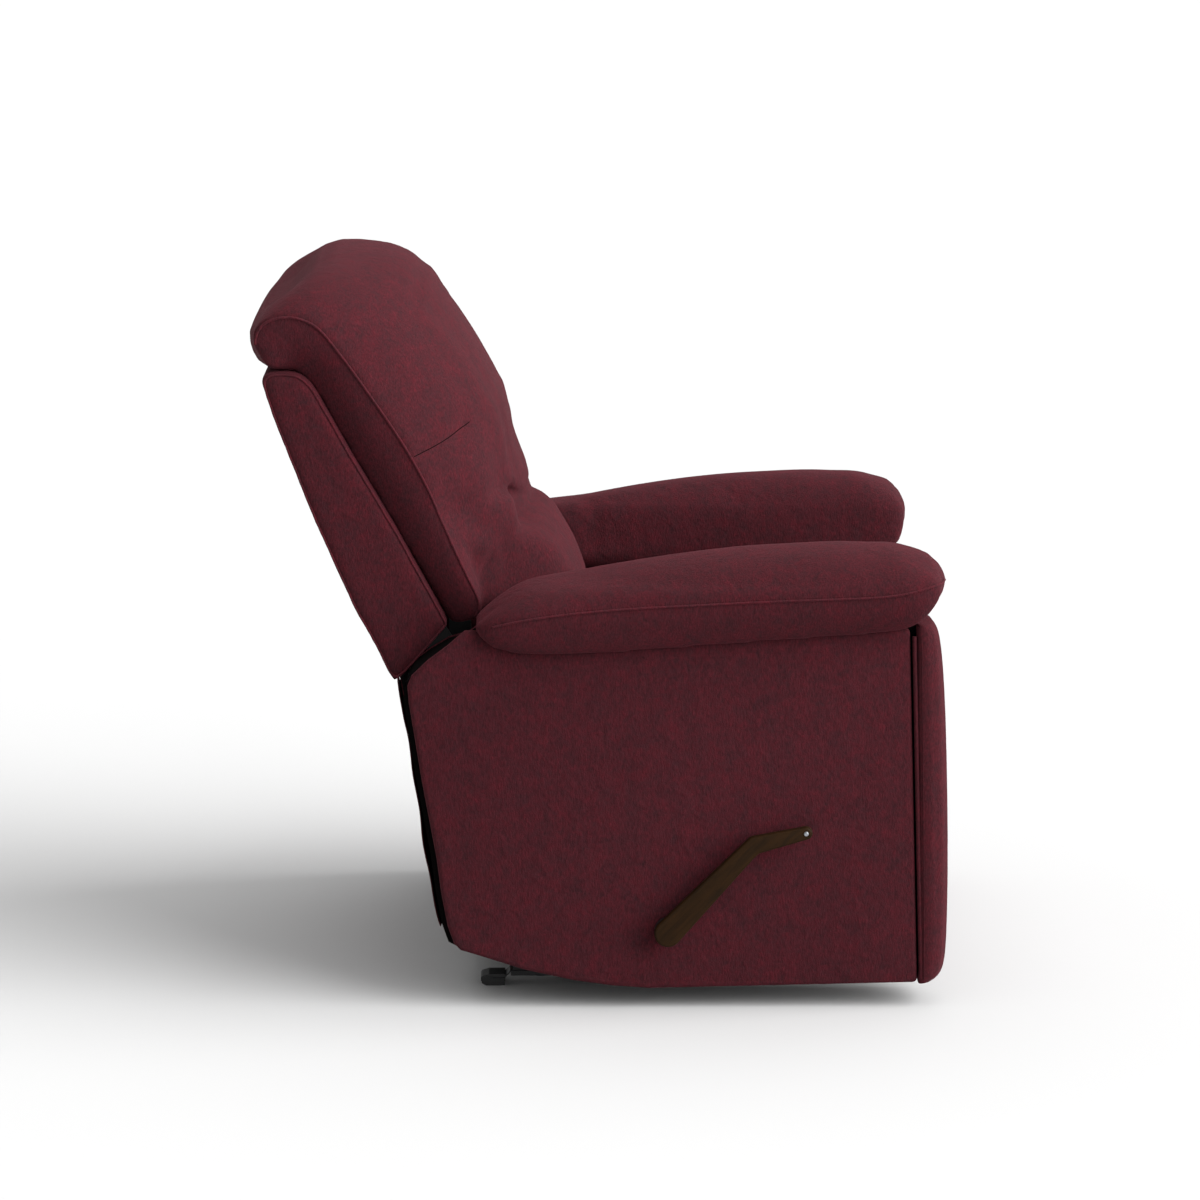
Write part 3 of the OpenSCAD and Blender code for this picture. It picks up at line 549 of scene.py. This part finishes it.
def stained_wood(name, base, dark, scale=1.0):
    """Lacquered hardwood or plain timber: long narrow grain and a slightly uneven sheen."""
    mat, tree, shader = material(name)
    where = add(tree, "ShaderNodeTexCoord").outputs["Object"]
    # On the lever the grain runs along its arm, in streaks 9 mm wide and 64 mm long with finer ones inside.
    # The frame's timber, seen only in slivers, has them twice as large
    turned = add(tree, "ShaderNodeMapping", {"Vector": where, "Rotation": (math.radians(-46.3), 0, 0),
                                             "Scale": (0.012 / scale, 0.09 / scale, 0.012 / scale)},
                 vector_type="TEXTURE")
    rings = add(tree, "ShaderNodeTexNoise", {"Vector": turned.outputs[0], "Scale": 1.4, "Detail": 6.0,
                                             "Roughness": 0.65, "Distortion": 0.6})
    tone = add(tree, "ShaderNodeValToRGB", {"Fac": rings.outputs["Fac"]})
    stops(tone, (0.32, dark), (0.68, base))
    tree.links.new(tone.outputs[0], shader.inputs["Base Color"])
    shader.inputs["Specular IOR Level"].default_value = 0.06
    shine = add(tree, "ShaderNodeMapRange", {"Value": rings.outputs["Fac"], "To Min": 0.46, "To Max": 0.62})
    tree.links.new(shine.outputs[0], shader.inputs["Roughness"])
    bump = add(tree, "ShaderNodeBump", {"Height": rings.outputs["Fac"], "Strength": 0.2, "Distance": 0.0006})
    tree.links.new(bump.outputs[0], shader.inputs["Normal"])
    return mat


def matt_black(name):
    """Black non-woven dust cloth: no shine at all. The same black is also painted shade where the frame shows
    in gaps.
    """
    mat, tree, shader = material(name)
    where = add(tree, "ShaderNodeTexCoord").outputs["Object"]
    # Pressed fibres, about 2 mm apart
    fibres = add(tree, "ShaderNodeTexNoise", {"Vector": where, "Scale": 500.0, "Detail": 3.0})
    tone = add(tree, "ShaderNodeValToRGB", {"Fac": fibres.outputs["Fac"]})
    stops(tone, (0.3, linear("#060505")), (0.7, linear("#0D0B0B")))
    tree.links.new(tone.outputs[0], shader.inputs["Base Color"])
    shader.inputs["Roughness"].default_value = 1.0
    shader.inputs["Specular IOR Level"].default_value = 0.02
    return mat


def finish(name, base, dark, rough, metallic=1.0):
    """Plated, painted or bare steel, or a moulded plastic, with a sheen that varies a little."""
    mat, tree, shader = material(name)
    where = add(tree, "ShaderNodeTexCoord").outputs["Object"]
    # Unevenness of the surface, about 4 mm across
    patches = add(tree, "ShaderNodeTexNoise", {"Vector": where, "Scale": 240.0, "Detail": 4.0,
                                               "Roughness": 0.6})
    tone = add(tree, "ShaderNodeValToRGB", {"Fac": patches.outputs["Fac"]})
    stops(tone, (0.35, dark), (0.65, base))
    tree.links.new(tone.outputs[0], shader.inputs["Base Color"])
    shader.inputs["Metallic"].default_value = metallic
    shine = add(tree, "ShaderNodeMapRange", {"Value": patches.outputs["Fac"], "To Min": rough - 0.08,
                                             "To Max": rough + 0.12})
    tree.links.new(shine.outputs[0], shader.inputs["Roughness"])
    bump = add(tree, "ShaderNodeBump", {"Height": patches.outputs["Fac"], "Strength": 0.12,
                                        "Distance": 0.0003})
    tree.links.new(bump.outputs[0], shader.inputs["Normal"])
    return mat


MATERIALS = {}


def make_materials():
    """Makes every finish of the chair, with the colours that the panel shows."""
    MATERIALS.update({
        # The same cloth throughout in three brightnesses: the flap's copy is a fifth darker, painted shade,
        # and the welts' copy a quarter paler, a painted highlight on their raised cord
        "cloth": brushed_cloth("brushed_polyester_suede"),
        # The flap's copy is the cloth a fifth darker: painted shade
        "cloth_flap_painted_shade": brushed_cloth("brushed_polyester_flap_painted_shade", 0.8),
        "cloth_welt_painted_highlight": brushed_cloth("brushed_polyester_welt_painted_highlight", 1.25),
        # Dark walnut stain under satin lacquer: brown with hardly any highlight
        "wood": stained_wood("stained_lacquered_beech", tuple(colours().wood), linear("#1A1006")),
        # Planed softwood without a finish: pale and dull
        "timber": stained_wood("planed_pine", linear("#A07C50"), linear("#7D5C38"), 0.5),
        # Non-woven cloth that closes the frame's underside and rear edges: it swallows the light. The same
        # black on the frame's timber in the gaps is painted shade
        "lining_and_painted_shade": matt_black("black_dust_cloth_and_painted_shade"),
        # Moulded with a fine texture: black with a soft sheen
        "black_plastic": finish("moulded_black_polypropylene", linear("#0D0D0E"), linear("#08080A"),
                                0.5, 0.0),
        # Powder coat: a skin of paint, so not metallic to the eye
        "black_steel": finish("black_powder_coated_steel", linear("#111113"), linear("#0A0A0B"),
                              0.55, 0.0),
        # Rolled and oiled: dark grey metal
        "link_steel": finish("oiled_rolled_steel", linear("#5A5C60"), linear("#3E4044"), 0.4),
        # Zinc plate: pale blue-grey metal
        "zinc": finish("zinc_plated_steel", linear("#A9ADB2"), linear("#8B8F95"), 0.34),
        # Nickel plate: warm grey metal
        "bright": finish("polished_nickel_plated_steel", linear("#55504A"), linear("#3E3A35"), 0.34),
    })


# The finish of each material slot of the frame
SLOT_FINISH = {
    # The frame's dark timber gets the black cloth: painted shade in the gaps where it shows
    "upholstery": "cloth", "apron_cloth": "cloth_flap_painted_shade", "dark_timber": "lining_and_painted_shade", "timber": "timber",
    "black_plastic": "black_plastic", "lever_wood": "wood", "zinc_steel": "zinc", "bright_steel": "bright",
    "link_steel": "link_steel", "black_steel": "black_steel",
}


# Operators, one for each piece or group of like pieces

class RECLINER_OT_finishes(bpy.types.Operator):
    """Makes the finishes and puts them on the frame's own pieces"""
    bl_idname = "recliner.finishes"
    bl_label = "Finishes"

    def execute(self, context):
        make_materials()
        for entry in frame["record"]["subparts"]:
            wear(frame["nodes"][entry["node"]], MATERIALS[SLOT_FINISH[entry["material_slot"]]])
        return {"FINISHED"}


class RECLINER_OT_back_pillow(bpy.types.Operator):
    """Makes the padded pillow of the back with its tufts, creases and sewn seams"""
    bl_idname = "recliner.back_pillow"
    bl_label = "Back pillow"

    def execute(self, context):
        pad = copy_of("back_pillow", "back_pillow_cover")
        modify(pad, "REMESH", mode="VOXEL", voxel_size=sizes().cell)
        edges = both_sides(curve_points([point(BACK_HALF, f, z) for f, z in BACK_SIDE], 0.008))
        co = places(pad)
        held = near_lines(co, edges, 0.008)
        even(pad, 14, held)
        co = places(pad)
        x, f, z = millimetres(co)
        # The filling doesn't press the rear, which rests on the shell
        held = np.maximum(held, f < -190 - (z - 530) * 0.6)
        fill_up(pad, held, 0.012)
        self.hollow(pad)
        co = places(pad)
        even(pad, 12, np.minimum(1, held + near_line(co, edges[0], 0.02) + near_line(co, edges[1], 0.02)))
        drawn_to_outline(pad)
        even(pad, 3)
        modify(pad, "SUBSURF", levels=1, render_levels=1)
        self.crease(pad)
        even(pad, 2, factor=0.4)
        smooth(pad)
        ready(pad, "back", MATERIALS["cloth"], ["back_pillow"])
        welts = [snapped(pad, line, sizes().welt * 0.3) for line in edges]
        trim = cord_mesh("back_pillow_welts", welts, sizes().welt * 0.8)
        ready(trim, "back", MATERIALS["cloth_welt_painted_highlight"])
        self.head_seams(pad)
        return {"FINISHED"}

    def hollow(self, pad):
        """Presses broad hollows into the face round and above the tufts, and fills its lower corners."""
        co = places(pad)
        x, f, z = millimetres(co)
        x = np.abs(x)
        facing = ramp(-normals(pad)[:, 1], 0.1, 0.5)
        groove_x = TUFT_X + (z - 692) * 0.1
        hollows = 10 * bell(z - 698, 40) * bell(x - 182, 58) - 8 * bell(z - 625, 45) * bell(x - 228, 42)
        hollows += 7 * bell(x - groove_x, 28) * np.minimum(1, (1042 - z) / 120) * (z > 692)
        co[:, 1] -= hollows * facing * MM
        place(pad, co)

    def crease(self, pad):
        """Draws the tufts in, with the fold between them, the grooves above them and the head's seams."""
        co = places(pad)
        out = normals(pad)
        x, f, z = millimetres(co)
        x = np.abs(x)
        facing = ramp(-out[:, 1], 0.1, 0.5)
        fold_z = CREASE + 20 * (x / CREASE_HALF) ** 2
        fold = 3 * bell(z - fold_z, 7) * ramp(184 - x, 0, 26)
        groove_x = 168 + (z - 703) * 0.1
        groove = 2.2 * bell(x - groove_x, 26) * ramp(z, 700, 770) * ramp(1010 - z, 0, 200)
        pinch = 16 * bell(np.hypot(x - TUFT_X, (z - TUFT_Z) * 1.25), 16)
        seam_z = HEAD_SEAM_Z - (x - HEAD_SEAM_X) * 0.5
        seam = 2.2 * bell(z - seam_z, 7) * ramp(x, 254, 268)
        co -= out * ((fold + groove + pinch + seam) * facing * MM)[:, None]
        # Where the shell leans against it, the side is tucked in
        lean = [point(BACK_HALF, f, z) for f, z in SHELL[:7]]
        flat = np.stack([np.full(len(co), BACK_HALF * MM), co[:, 1], co[:, 2]], axis=1)
        tuck = 17 * near_line(flat, lean, 0.03) * ramp(x, 300, 335)
        co[:, 0] -= np.sign(co[:, 0]) * tuck * MM
        place(pad, co)

    def head_seams(self, pad):
        """Lays a thin black cord along a short seam in from each side at the head: painted shade on the
        seam's line.
        """
        rows = []
        for way in (1, -1):
            start = []
            for x in range(HEAD_SEAM_X, HEAD_SEAM_END + 1, 4):
                along = x - HEAD_SEAM_X
                sag = 2 * math.sin(along / (HEAD_SEAM_END - HEAD_SEAM_X) * math.pi)
                start.append(point(way * x, -185 - along, HEAD_SEAM_Z - along * 0.5 - sag))
            rows.append(snapped(pad, start, 0.0001, 2))
        # The cord is the black cloth: painted shade along the seam
        seam_shade = cord_mesh("back_pillow_seams_painted_shade", rows, 0.0006)
        ready(seam_shade, "back", MATERIALS["lining_and_painted_shade"])


class RECLINER_OT_back_shell(bpy.types.Operator):
    """Makes the covered outer shell of the back with welts round both side faces"""
    bl_idname = "recliner.back_shell"
    bl_label = "Back shell"

    def execute(self, context):
        shell = outline_solid("back_shell_cover", SHELL, -BACK_HALF, BACK_HALF)
        modify(shell, "REMESH", mode="VOXEL", voxel_size=sizes().cell * 1.2)
        edges = both_sides(curve_points([point(BACK_HALF, f, z) for f, z in SHELL + SHELL[:1]], 0.008))
        even(shell, 8, near_lines(places(shell), edges, 0.006))
        finer(shell)
        ready(shell, "back", MATERIALS["cloth"], ["back_frame"])
        welts = [snapped(shell, line[:-1], sizes().welt * 0.4) for line in edges]
        trim = cord_mesh("back_shell_welts", welts, sizes().welt * 0.7, closed=True)
        ready(trim, "back", MATERIALS["cloth_welt_painted_highlight"])
        return {"FINISHED"}


class RECLINER_OT_side_panels(bpy.types.Operator):
    """Makes the covered side panels with rounded edges and a welt down the front"""
    bl_idname = "recliner.side_panels"
    bl_label = "Side panels"

    def execute(self, context):
        outline = [(439, 35)] + PANEL_UNDER + PANEL_REAR + [(423, 541)]
        panel = outline_solid("side_panel_cover_left", outline, PANEL_IN, PANEL_OUT)
        modify(panel, "BEVEL", width=0.0065, segments=4, limit_method="ANGLE", angle_limit=math.radians(50),
               harden_normals=False)
        smooth(panel, 40)
        twin = mirrored(panel, "side_panel_cover_right")
        for obj, way, sign in ((panel, "left", 1), (twin, "right", -1)):
            ready(obj, "chassis", MATERIALS["cloth"], ["side_panel_" + way])
            x = sign * (PANEL_OUT - 1.5)
            line = curve_points([point(x, 444, 40), point(x, 436, 300), point(x, 429, 530)], 0.02)
            trim = cord_mesh("side_panel_welt_" + way, [line], sizes().welt * 1.3)
            ready(trim, "chassis", MATERIALS["cloth"])
        return {"FINISHED"}


class RECLINER_OT_arm_fronts(bpy.types.Operator):
    """Makes the padded strips on the fronts of the arms, with a seam down their outer side"""
    bl_idname = "recliner.arm_fronts"
    bl_label = "Arm fronts"

    def execute(self, context):
        pad = copy_of("arm_front_left", "arm_front_cover_left")
        modify(pad, "REMESH", mode="VOXEL", voxel_size=0.004)
        even(pad, 3)
        # Both ends are cut squarer than the frame's strip
        co = places(pad)
        x, f, z = millimetres(co)
        middle = (z.max() + z.min()) / 2
        corner = bell(np.hypot(f - f.min(), z - z.min()), 13)
        up, down = ramp(z, middle, z.max() - 10), ramp(-z, -middle, -z.min() - 10)
        co[:, 2] += (6 * up - 4 * down - 6 * corner) * MM
        co[:, 1] += 7 * corner * MM
        place(pad, co)
        finer(pad)
        twin = mirrored(pad, "arm_front_cover_right")
        for obj, way, sign in ((pad, "left", 1), (twin, "right", -1)):
            ready(obj, "chassis", MATERIALS["cloth"], ["arm_front_" + way])
            x = sign * (FRONT_OUT + 3)
            line = curve_points([point(x, 447, 40), point(x, 443, 300), point(x, 438, 530)], 0.01)
            # A thin cord of the darker cloth marks the seam: painted shade along it
            seam = cord_mesh("arm_front_seam_shade_" + way, [snapped(obj, line, 0.0001)], 0.0006)
            ready(seam, "chassis", MATERIALS["cloth_flap_painted_shade"])
        return {"FINISHED"}


class RECLINER_OT_arm_pillows(bpy.types.Operator):
    """Makes the padded pillows over the arms with the welt along their outer side"""
    bl_idname = "recliner.arm_pillows"
    bl_label = "Arm pillows"

    # The welt's line: across, forward and height, along the outer side and round its front corner
    seam = [(463, -160, 551), (463, -118, 560), (463, -47, 570), (463, 37, 577), (463, 121, 581),
            (463, 206, 585), (463, 291, 588), (463, 375, 591), (460, 417, 596), (452, 447, 603),
            (436, 470, 607), (416, 481, 608), (396, 486, 607)]
    # How far forward the end reaches, as (height, forward): beside the sitter, in its middle, and outside
    inner_end = [(500, 440), (530, 463), (541, 470), (553, 474), (569, 478), (594, 479), (618, 471),
                 (642, 445)]
    middle_end = [(500, 400), (526, 432), (541, 447), (553, 454), (561, 459), (576, 470), (592, 475),
                  (605, 477), (617, 472), (634, 460), (643, 440), (650, 412)]
    outer_end = [(500, 380), (526, 405), (545, 427), (565, 446), (573, 452), (588, 463), (604, 469),
                 (612, 468), (622, 461), (634, 448), (645, 425)]

    def end_moves(self, x, f, z):
        """How far forward each point of the end moves to reach the three profiles."""
        move = np.zeros(len(f))
        for i in np.nonzero((f > 370) & (z > 508) & (z < 650))[0]:
            close = (np.abs(x - x[i]) < 9) & (np.abs(z - z[i]) < 8) & (f > 300)
            now = f[close].max()
            inner = np.interp(z[i], *zip(*self.inner_end))
            middle = np.interp(z[i], *zip(*self.middle_end))
            outer = np.interp(z[i], *zip(*self.outer_end))
            across = ramp(x[i], 290, 335)
            over = ramp(x[i], 370, 425)
            want = inner * (1 - across) + (middle * (1 - over) + outer * over) * across
            side = ramp(x[i], 262, 274) * (1 - ramp(x[i], 430, 452))
            move[i] = np.clip(want - now, -25, 45) * ramp(f[i], 370, now - 2) * side
        return move

    def execute(self, context):
        pad = copy_of("arm_pillow_left", "arm_pillow_cover_left")
        modify(pad, "REMESH", mode="VOXEL", voxel_size=sizes().cell)
        even(pad, 10)
        x, f, z = millimetres(places(pad))
        fill_up(pad, (z < ARM_PILLOW_FOOT) * 1.0, 0.005)
        even(pad, 2)
        co = places(pad)
        x, f, z = millimetres(co)
        # The top is a little flatter than the filling leaves it, and the side by the sitter hangs lower
        flatter = (4 * (1 - ramp(f, 250, 380)) + 4.5 * (1 - ramp(f, 360, 420))) * ramp(z, 590, 620)
        skirt = 34 * (1 - ramp(x, 285, 325)) * (1 - ramp(z, 575, 615))
        skirt *= ramp(f, -150, -60) * (1 - ramp(f, 380, 440))
        co[:, 2] -= (flatter + skirt) * MM
        co[:, 1] -= self.end_moves(x, f, z) * MM
        place(pad, co)
        even(pad, 2)
        finer(pad)
        line = curve_points([point(*spot) for spot in self.seam], 0.01)
        twin = mirrored(pad, "arm_pillow_cover_right")
        for obj, way, sign in ((pad, "left", 1), (twin, "right", -1)):
            ready(obj, "chassis", MATERIALS["cloth"], ["arm_pillow_" + way])
            path = snapped(obj, [Vector((sign * p.x, p.y, p.z)) for p in line], sizes().welt * 0.35)
            trim = cord_mesh("arm_pillow_welt_" + way, [path], sizes().welt * 0.7)
            ready(trim, "chassis", MATERIALS["cloth_welt_painted_highlight"])
        return {"FINISHED"}


class RECLINER_OT_seat(bpy.types.Operator):
    """Makes the padded seat cushion, and the cloth over the front rail under it"""
    bl_idname = "recliner.seat"
    bl_label = "Seat cushion"

    def execute(self, context):
        pad = copy_of("seat_cushion", "seat_cushion_cover")
        modify(pad, "REMESH", mode="VOXEL", voxel_size=sizes().cell * 1.2)
        even(pad, 8)
        finer(pad)
        ready(pad, "seat", MATERIALS["cloth"], ["seat_cushion"])
        # The cloth turned down over the seat frame's front rail
        lip = [(425.5, 383), (429, 382.5), (432.5, 384), (434, 388), (435, 404), (432, 409), (425.5, 410)]
        band = outline_solid("seat_front_band", lip, -SEAT_HALF - 2, SEAT_HALF + 2)
        modify(band, "BEVEL", width=0.0015, segments=2, limit_method="ANGLE",
               angle_limit=math.radians(40))
        smooth(band, 50)
        ready(band, "seat", MATERIALS["cloth"])
        return {"FINISHED"}


class RECLINER_OT_leg_rest(bpy.types.Operator):
    """Makes the padded face of the leg rest"""
    bl_idname = "recliner.leg_rest"
    bl_label = "Leg rest"

    def execute(self, context):
        pad = copy_of("legrest_pad", "legrest_cover")
        modify(pad, "REMESH", mode="VOXEL", voxel_size=sizes().cell)
        even(pad, 6)
        finer(pad)
        ready(pad, "legrest", MATERIALS["cloth"], ["legrest_pad"])
        return {"FINISHED"}


class RECLINER_OT_rear_flap(bpy.types.Operator):
    """Makes the loose cloth flap across the rear"""
    bl_idname = "recliner.rear_flap"
    bl_label = "Rear flap"

    def execute(self, context):
        half, slit_low = FLAP_HALF * MM, SLIT_LOW * MM
        line = curve_points([point(0, f, z) for f, z in FLAP_LINE], 0.006)
        rows = len(line) - 1
        only_none()
        bpy.ops.mesh.primitive_grid_add(x_subdivisions=120, y_subdivisions=rows, size=1)
        flap = bpy.context.object
        flap.name = "rear_flap"
        flap.data.name = "rear_flap"
        co = places(flap)
        row = np.round((co[:, 1] + 0.5) * rows).astype(int)
        x = co[:, 0] * 2 * half
        t = row / rows
        base = np.array([list(p) for p in line])[row]
        # Shallow waves that grow towards the hem, a ripple up each end, and 1 mm of room at the frame
        wave = 0.0022 * np.sin(x * 34 + 4 * t) * t + 0.0016 * np.sin(x * 81 + 1.2) * t * t
        ripple = 0.0012 * np.sin(t * 21 + 0.8) * ramp(np.abs(x), half - 0.06, half)
        # Both ends reach up beside the back's shell
        lift = 0.018 * ramp(np.abs(x), 0.349, 0.36) * ramp(base[:, 2], 0.4, 0.449)
        spots = np.stack([x, base[:, 1] + wave + ripple + 0.001, base[:, 2] + lift], axis=1)
        flap.matrix_world = Matrix.Identity(4)
        place(flap, spots)
        only(flap)
        bpy.ops.object.mode_set(mode="EDIT")
        bpy.ops.mesh.select_all(action="SELECT")
        bpy.ops.mesh.normals_make_consistent(inside=False)
        # A slit for each of the back's brackets, 3 mm wider than it on both sides
        low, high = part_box("back_bracket_left")
        slits = [(low[0] - 0.003, high[0] + 0.003), (-high[0] - 0.003, -low[0] + 0.003)]
        for cut in slits[0] + slits[1]:
            bpy.ops.mesh.bisect(plane_co=(cut, 0, 0), plane_no=(1, 0, 0))
            bpy.ops.mesh.select_all(action="SELECT")
        bpy.ops.mesh.bisect(plane_co=(0, 0, slit_low), plane_no=(0, 0, 1))
        bpy.ops.mesh.select_all(action="DESELECT")
        bpy.ops.object.mode_set(mode="OBJECT")
        for face in flap.data.polygons:
            spot = face.center
            face.select = spot.z > slit_low and any(start < spot.x < stop for start, stop in slits)
        bpy.ops.object.mode_set(mode="EDIT")
        bpy.ops.mesh.delete(type="FACE")
        bpy.ops.object.mode_set(mode="OBJECT")
        modify(flap, "SOLIDIFY", thickness=0.0016, offset=0)
        smooth(flap, 50)
        # The flap wears the darker copy of the cloth: painted shade
        ready(flap, "chassis", MATERIALS["cloth_flap_painted_shade"], ["rear_apron"])
        # Its inner side, towards the front, gets the black cloth: painted shade
        flap.data.materials.append(MATERIALS["lining_and_painted_shade"])
        for face in flap.data.polygons:
            face.material_index = int(face.normal.y < -0.3)
        return {"FINISHED"}


class RECLINER_OT_lever(bpy.types.Operator):
    """Makes the wooden lever with eased edges"""
    bl_idname = "recliner.lever"
    bl_label = "Lever"

    # Its end on the shaft, its bend and its tip as (forward, height), and the outline's radius round each
    shaft, bend, tip = (87, 114), (207, 240), (279, 257)
    shaft_radius, bend_radius, tip_radius = 19, 12.5, 9

    def execute(self, context):
        (f0, z0), (f1, z1), (f2, z2) = self.shaft, self.bend, self.tip
        # The directions of the long arm, of the short arm, and of the inside of the bend, in degrees
        long_way = math.degrees(math.atan2(z1 - z0, f1 - f0))
        short_way = math.degrees(math.atan2(z2 - z1, f2 - f1))
        inside = (long_way + short_way) / 2 - 90
        inner = self.stepped(self.bend, inside, 12.8)
        outline = self.arc(self.shaft, self.shaft_radius, long_way + 90, long_way + 270, 20)
        outline += [self.stepped(inner, long_way, -9), self.stepped(inner, inside, 0.6),
                    self.stepped(inner, short_way, 9)]
        outline += self.arc(self.tip, self.tip_radius, short_way - 90, short_way + 90, 14)
        outline += self.arc(self.bend, self.bend_radius, short_way + 90, long_way + 90, 6)
        lever = outline_solid("lever_grip", outline, LEVER_OUT, LEVER_IN)
        modify(lever, "BEVEL", width=0.0035, segments=4, limit_method="ANGLE", angle_limit=math.radians(60))
        smooth(lever, 45)
        ready(lever, "handle", MATERIALS["wood"], ["handle_lever"])
        return {"FINISHED"}

    def stepped(self, start, way, distance):
        """The place at a distance from another, in a direction in degrees."""
        way = math.radians(way)
        return start[0] + distance * math.cos(way), start[1] + distance * math.sin(way)

    def arc(self, centre, radius, start, stop, count):
        """Places along an arc, from one direction to another."""
        return [self.stepped(centre, start + (stop - start) * i / count, radius) for i in range(count + 1)]


class RECLINER_OT_stage(bpy.types.Operator):
    """Makes the studio floor, the soft light and the camera"""
    bl_idname = "recliner.stage"
    bl_label = "Stage"

    def execute(self, context):
        scene = context.scene
        only_none()
        bpy.ops.mesh.primitive_plane_add(size=200, location=(0, 0, 0))
        floor = context.object
        floor.name = "studio_floor"
        mat, tree, shader = material("matt_white_studio_floor")
        where = add(tree, "ShaderNodeTexCoord").outputs["Object"]
        # Matt paint with a grain of about 3 mm, hardly to be seen
        grain = add(tree, "ShaderNodeTexNoise", {"Vector": where, "Scale": 300.0, "Detail": 2.0})
        tone = add(tree, "ShaderNodeValToRGB", {"Fac": grain.outputs["Fac"]})
        pale = tuple(colours().floor)
        stops(tone, (0.0, pale), (1.0, tuple(min(1, v * 1.02) for v in pale)))
        tree.links.new(tone.outputs[0], shader.inputs["Base Color"])
        shader.inputs["Roughness"].default_value = 0.9
        wear(floor, mat)
        scene.world = bpy.data.worlds.new("studio")
        scene.world.use_nodes = True
        tree = scene.world.node_tree
        sky = tree.nodes["Background"]
        sky.inputs["Color"].default_value = (1, 1, 1, 1)
        sky.inputs["Strength"].default_value = 0.45
        # Past the floor's far edge the studio is plain white
        rays = add(tree, "ShaderNodeLightPath")
        white = add(tree, "ShaderNodeBackground", {"Color": (1, 1, 1, 1), "Strength": 1.0})
        both = add(tree, "ShaderNodeMixShader", {0: rays.outputs["Is Camera Ray"], 1: sky.outputs[0],
                                                 2: white.outputs[0]})
        tree.links.new(both.outputs[0], tree.nodes["World Output"].inputs["Surface"])
        # Each soft box is a sun: where it shines from, how many degrees wide it looks, and its strength
        for name, spot, width, strength in (
                ("front_box", (-1.7, -4.8, 2.4), 66, 6.8),
                ("side_box", (-4.5, -3.0, 1.8), 60, 0.6),
                ("top_box", (0.6, -0.4, 4.0), 80, 1.5)):
            light = bpy.data.lights.new(name, "SUN")
            light.energy = strength
            light.angle = math.radians(width)
            lamp = bpy.data.objects.new(name, light)
            scene.collection.objects.link(lamp)
            lamp.location = spot
            lamp.rotation_euler = (-Vector(spot)).to_track_quat("-Z", "Y").to_euler()
        lens = bpy.data.cameras.new("studio_camera")
        lens.lens = 135
        lens.sensor_width = 36
        lens.clip_end = 100
        camera = bpy.data.objects.new("studio_camera", lens)
        scene.collection.objects.link(camera)
        # The photograph's view, almost square from the sitter's right and 10 degrees from above
        eye = Vector((-6.5549, 0.1144, 1.6640))
        camera.location = eye
        camera.rotation_euler = (Vector((0, 0, 0.508)) - eye).to_track_quat("-Z", "Y").to_euler()
        scene.camera = camera
        scene.view_settings.view_transform = "Standard"
        return {"FINISHED"}


STEPS = (
    RECLINER_OT_stage, RECLINER_OT_finishes, RECLINER_OT_back_pillow, RECLINER_OT_back_shell,
    RECLINER_OT_side_panels, RECLINER_OT_arm_fronts, RECLINER_OT_arm_pillows, RECLINER_OT_seat,
    RECLINER_OT_leg_rest, RECLINER_OT_rear_flap, RECLINER_OT_lever,
)


class RECLINER_PT_panel(bpy.types.Panel):
    """Lists the recliner's sizes, colours and steps"""
    bl_label = "Recliner"
    bl_idname = "RECLINER_PT_panel"
    bl_space_type = "VIEW_3D"
    bl_region_type = "UI"
    bl_category = "Recliner"

    def draw(self, context):
        for group in (context.scene.recliner_sizes, context.scene.recliner_colours):
            box = self.layout.box()
            for key in group.bl_rna.properties.keys():
                if key not in {"rna_type", "name"}:
                    box.prop(group, key)
        for step in STEPS:
            self.layout.operator(step.bl_idname)


CLASSES = (ReclinerSizes, ReclinerColours) + STEPS + (RECLINER_PT_panel,)


def register():
    for cls in CLASSES:
        bpy.utils.register_class(cls)
    bpy.types.Scene.recliner_sizes = PointerProperty(type=ReclinerSizes)
    bpy.types.Scene.recliner_colours = PointerProperty(type=ReclinerColours)


def unregister():
    del bpy.types.Scene.recliner_sizes
    del bpy.types.Scene.recliner_colours
    for cls in reversed(CLASSES):
        bpy.utils.unregister_class(cls)


def main():
    register()
    for step in STEPS:
        group, name = step.bl_idname.split(".")
        getattr(getattr(bpy.ops, group), name)()


if __name__ == "__main__":
    main()
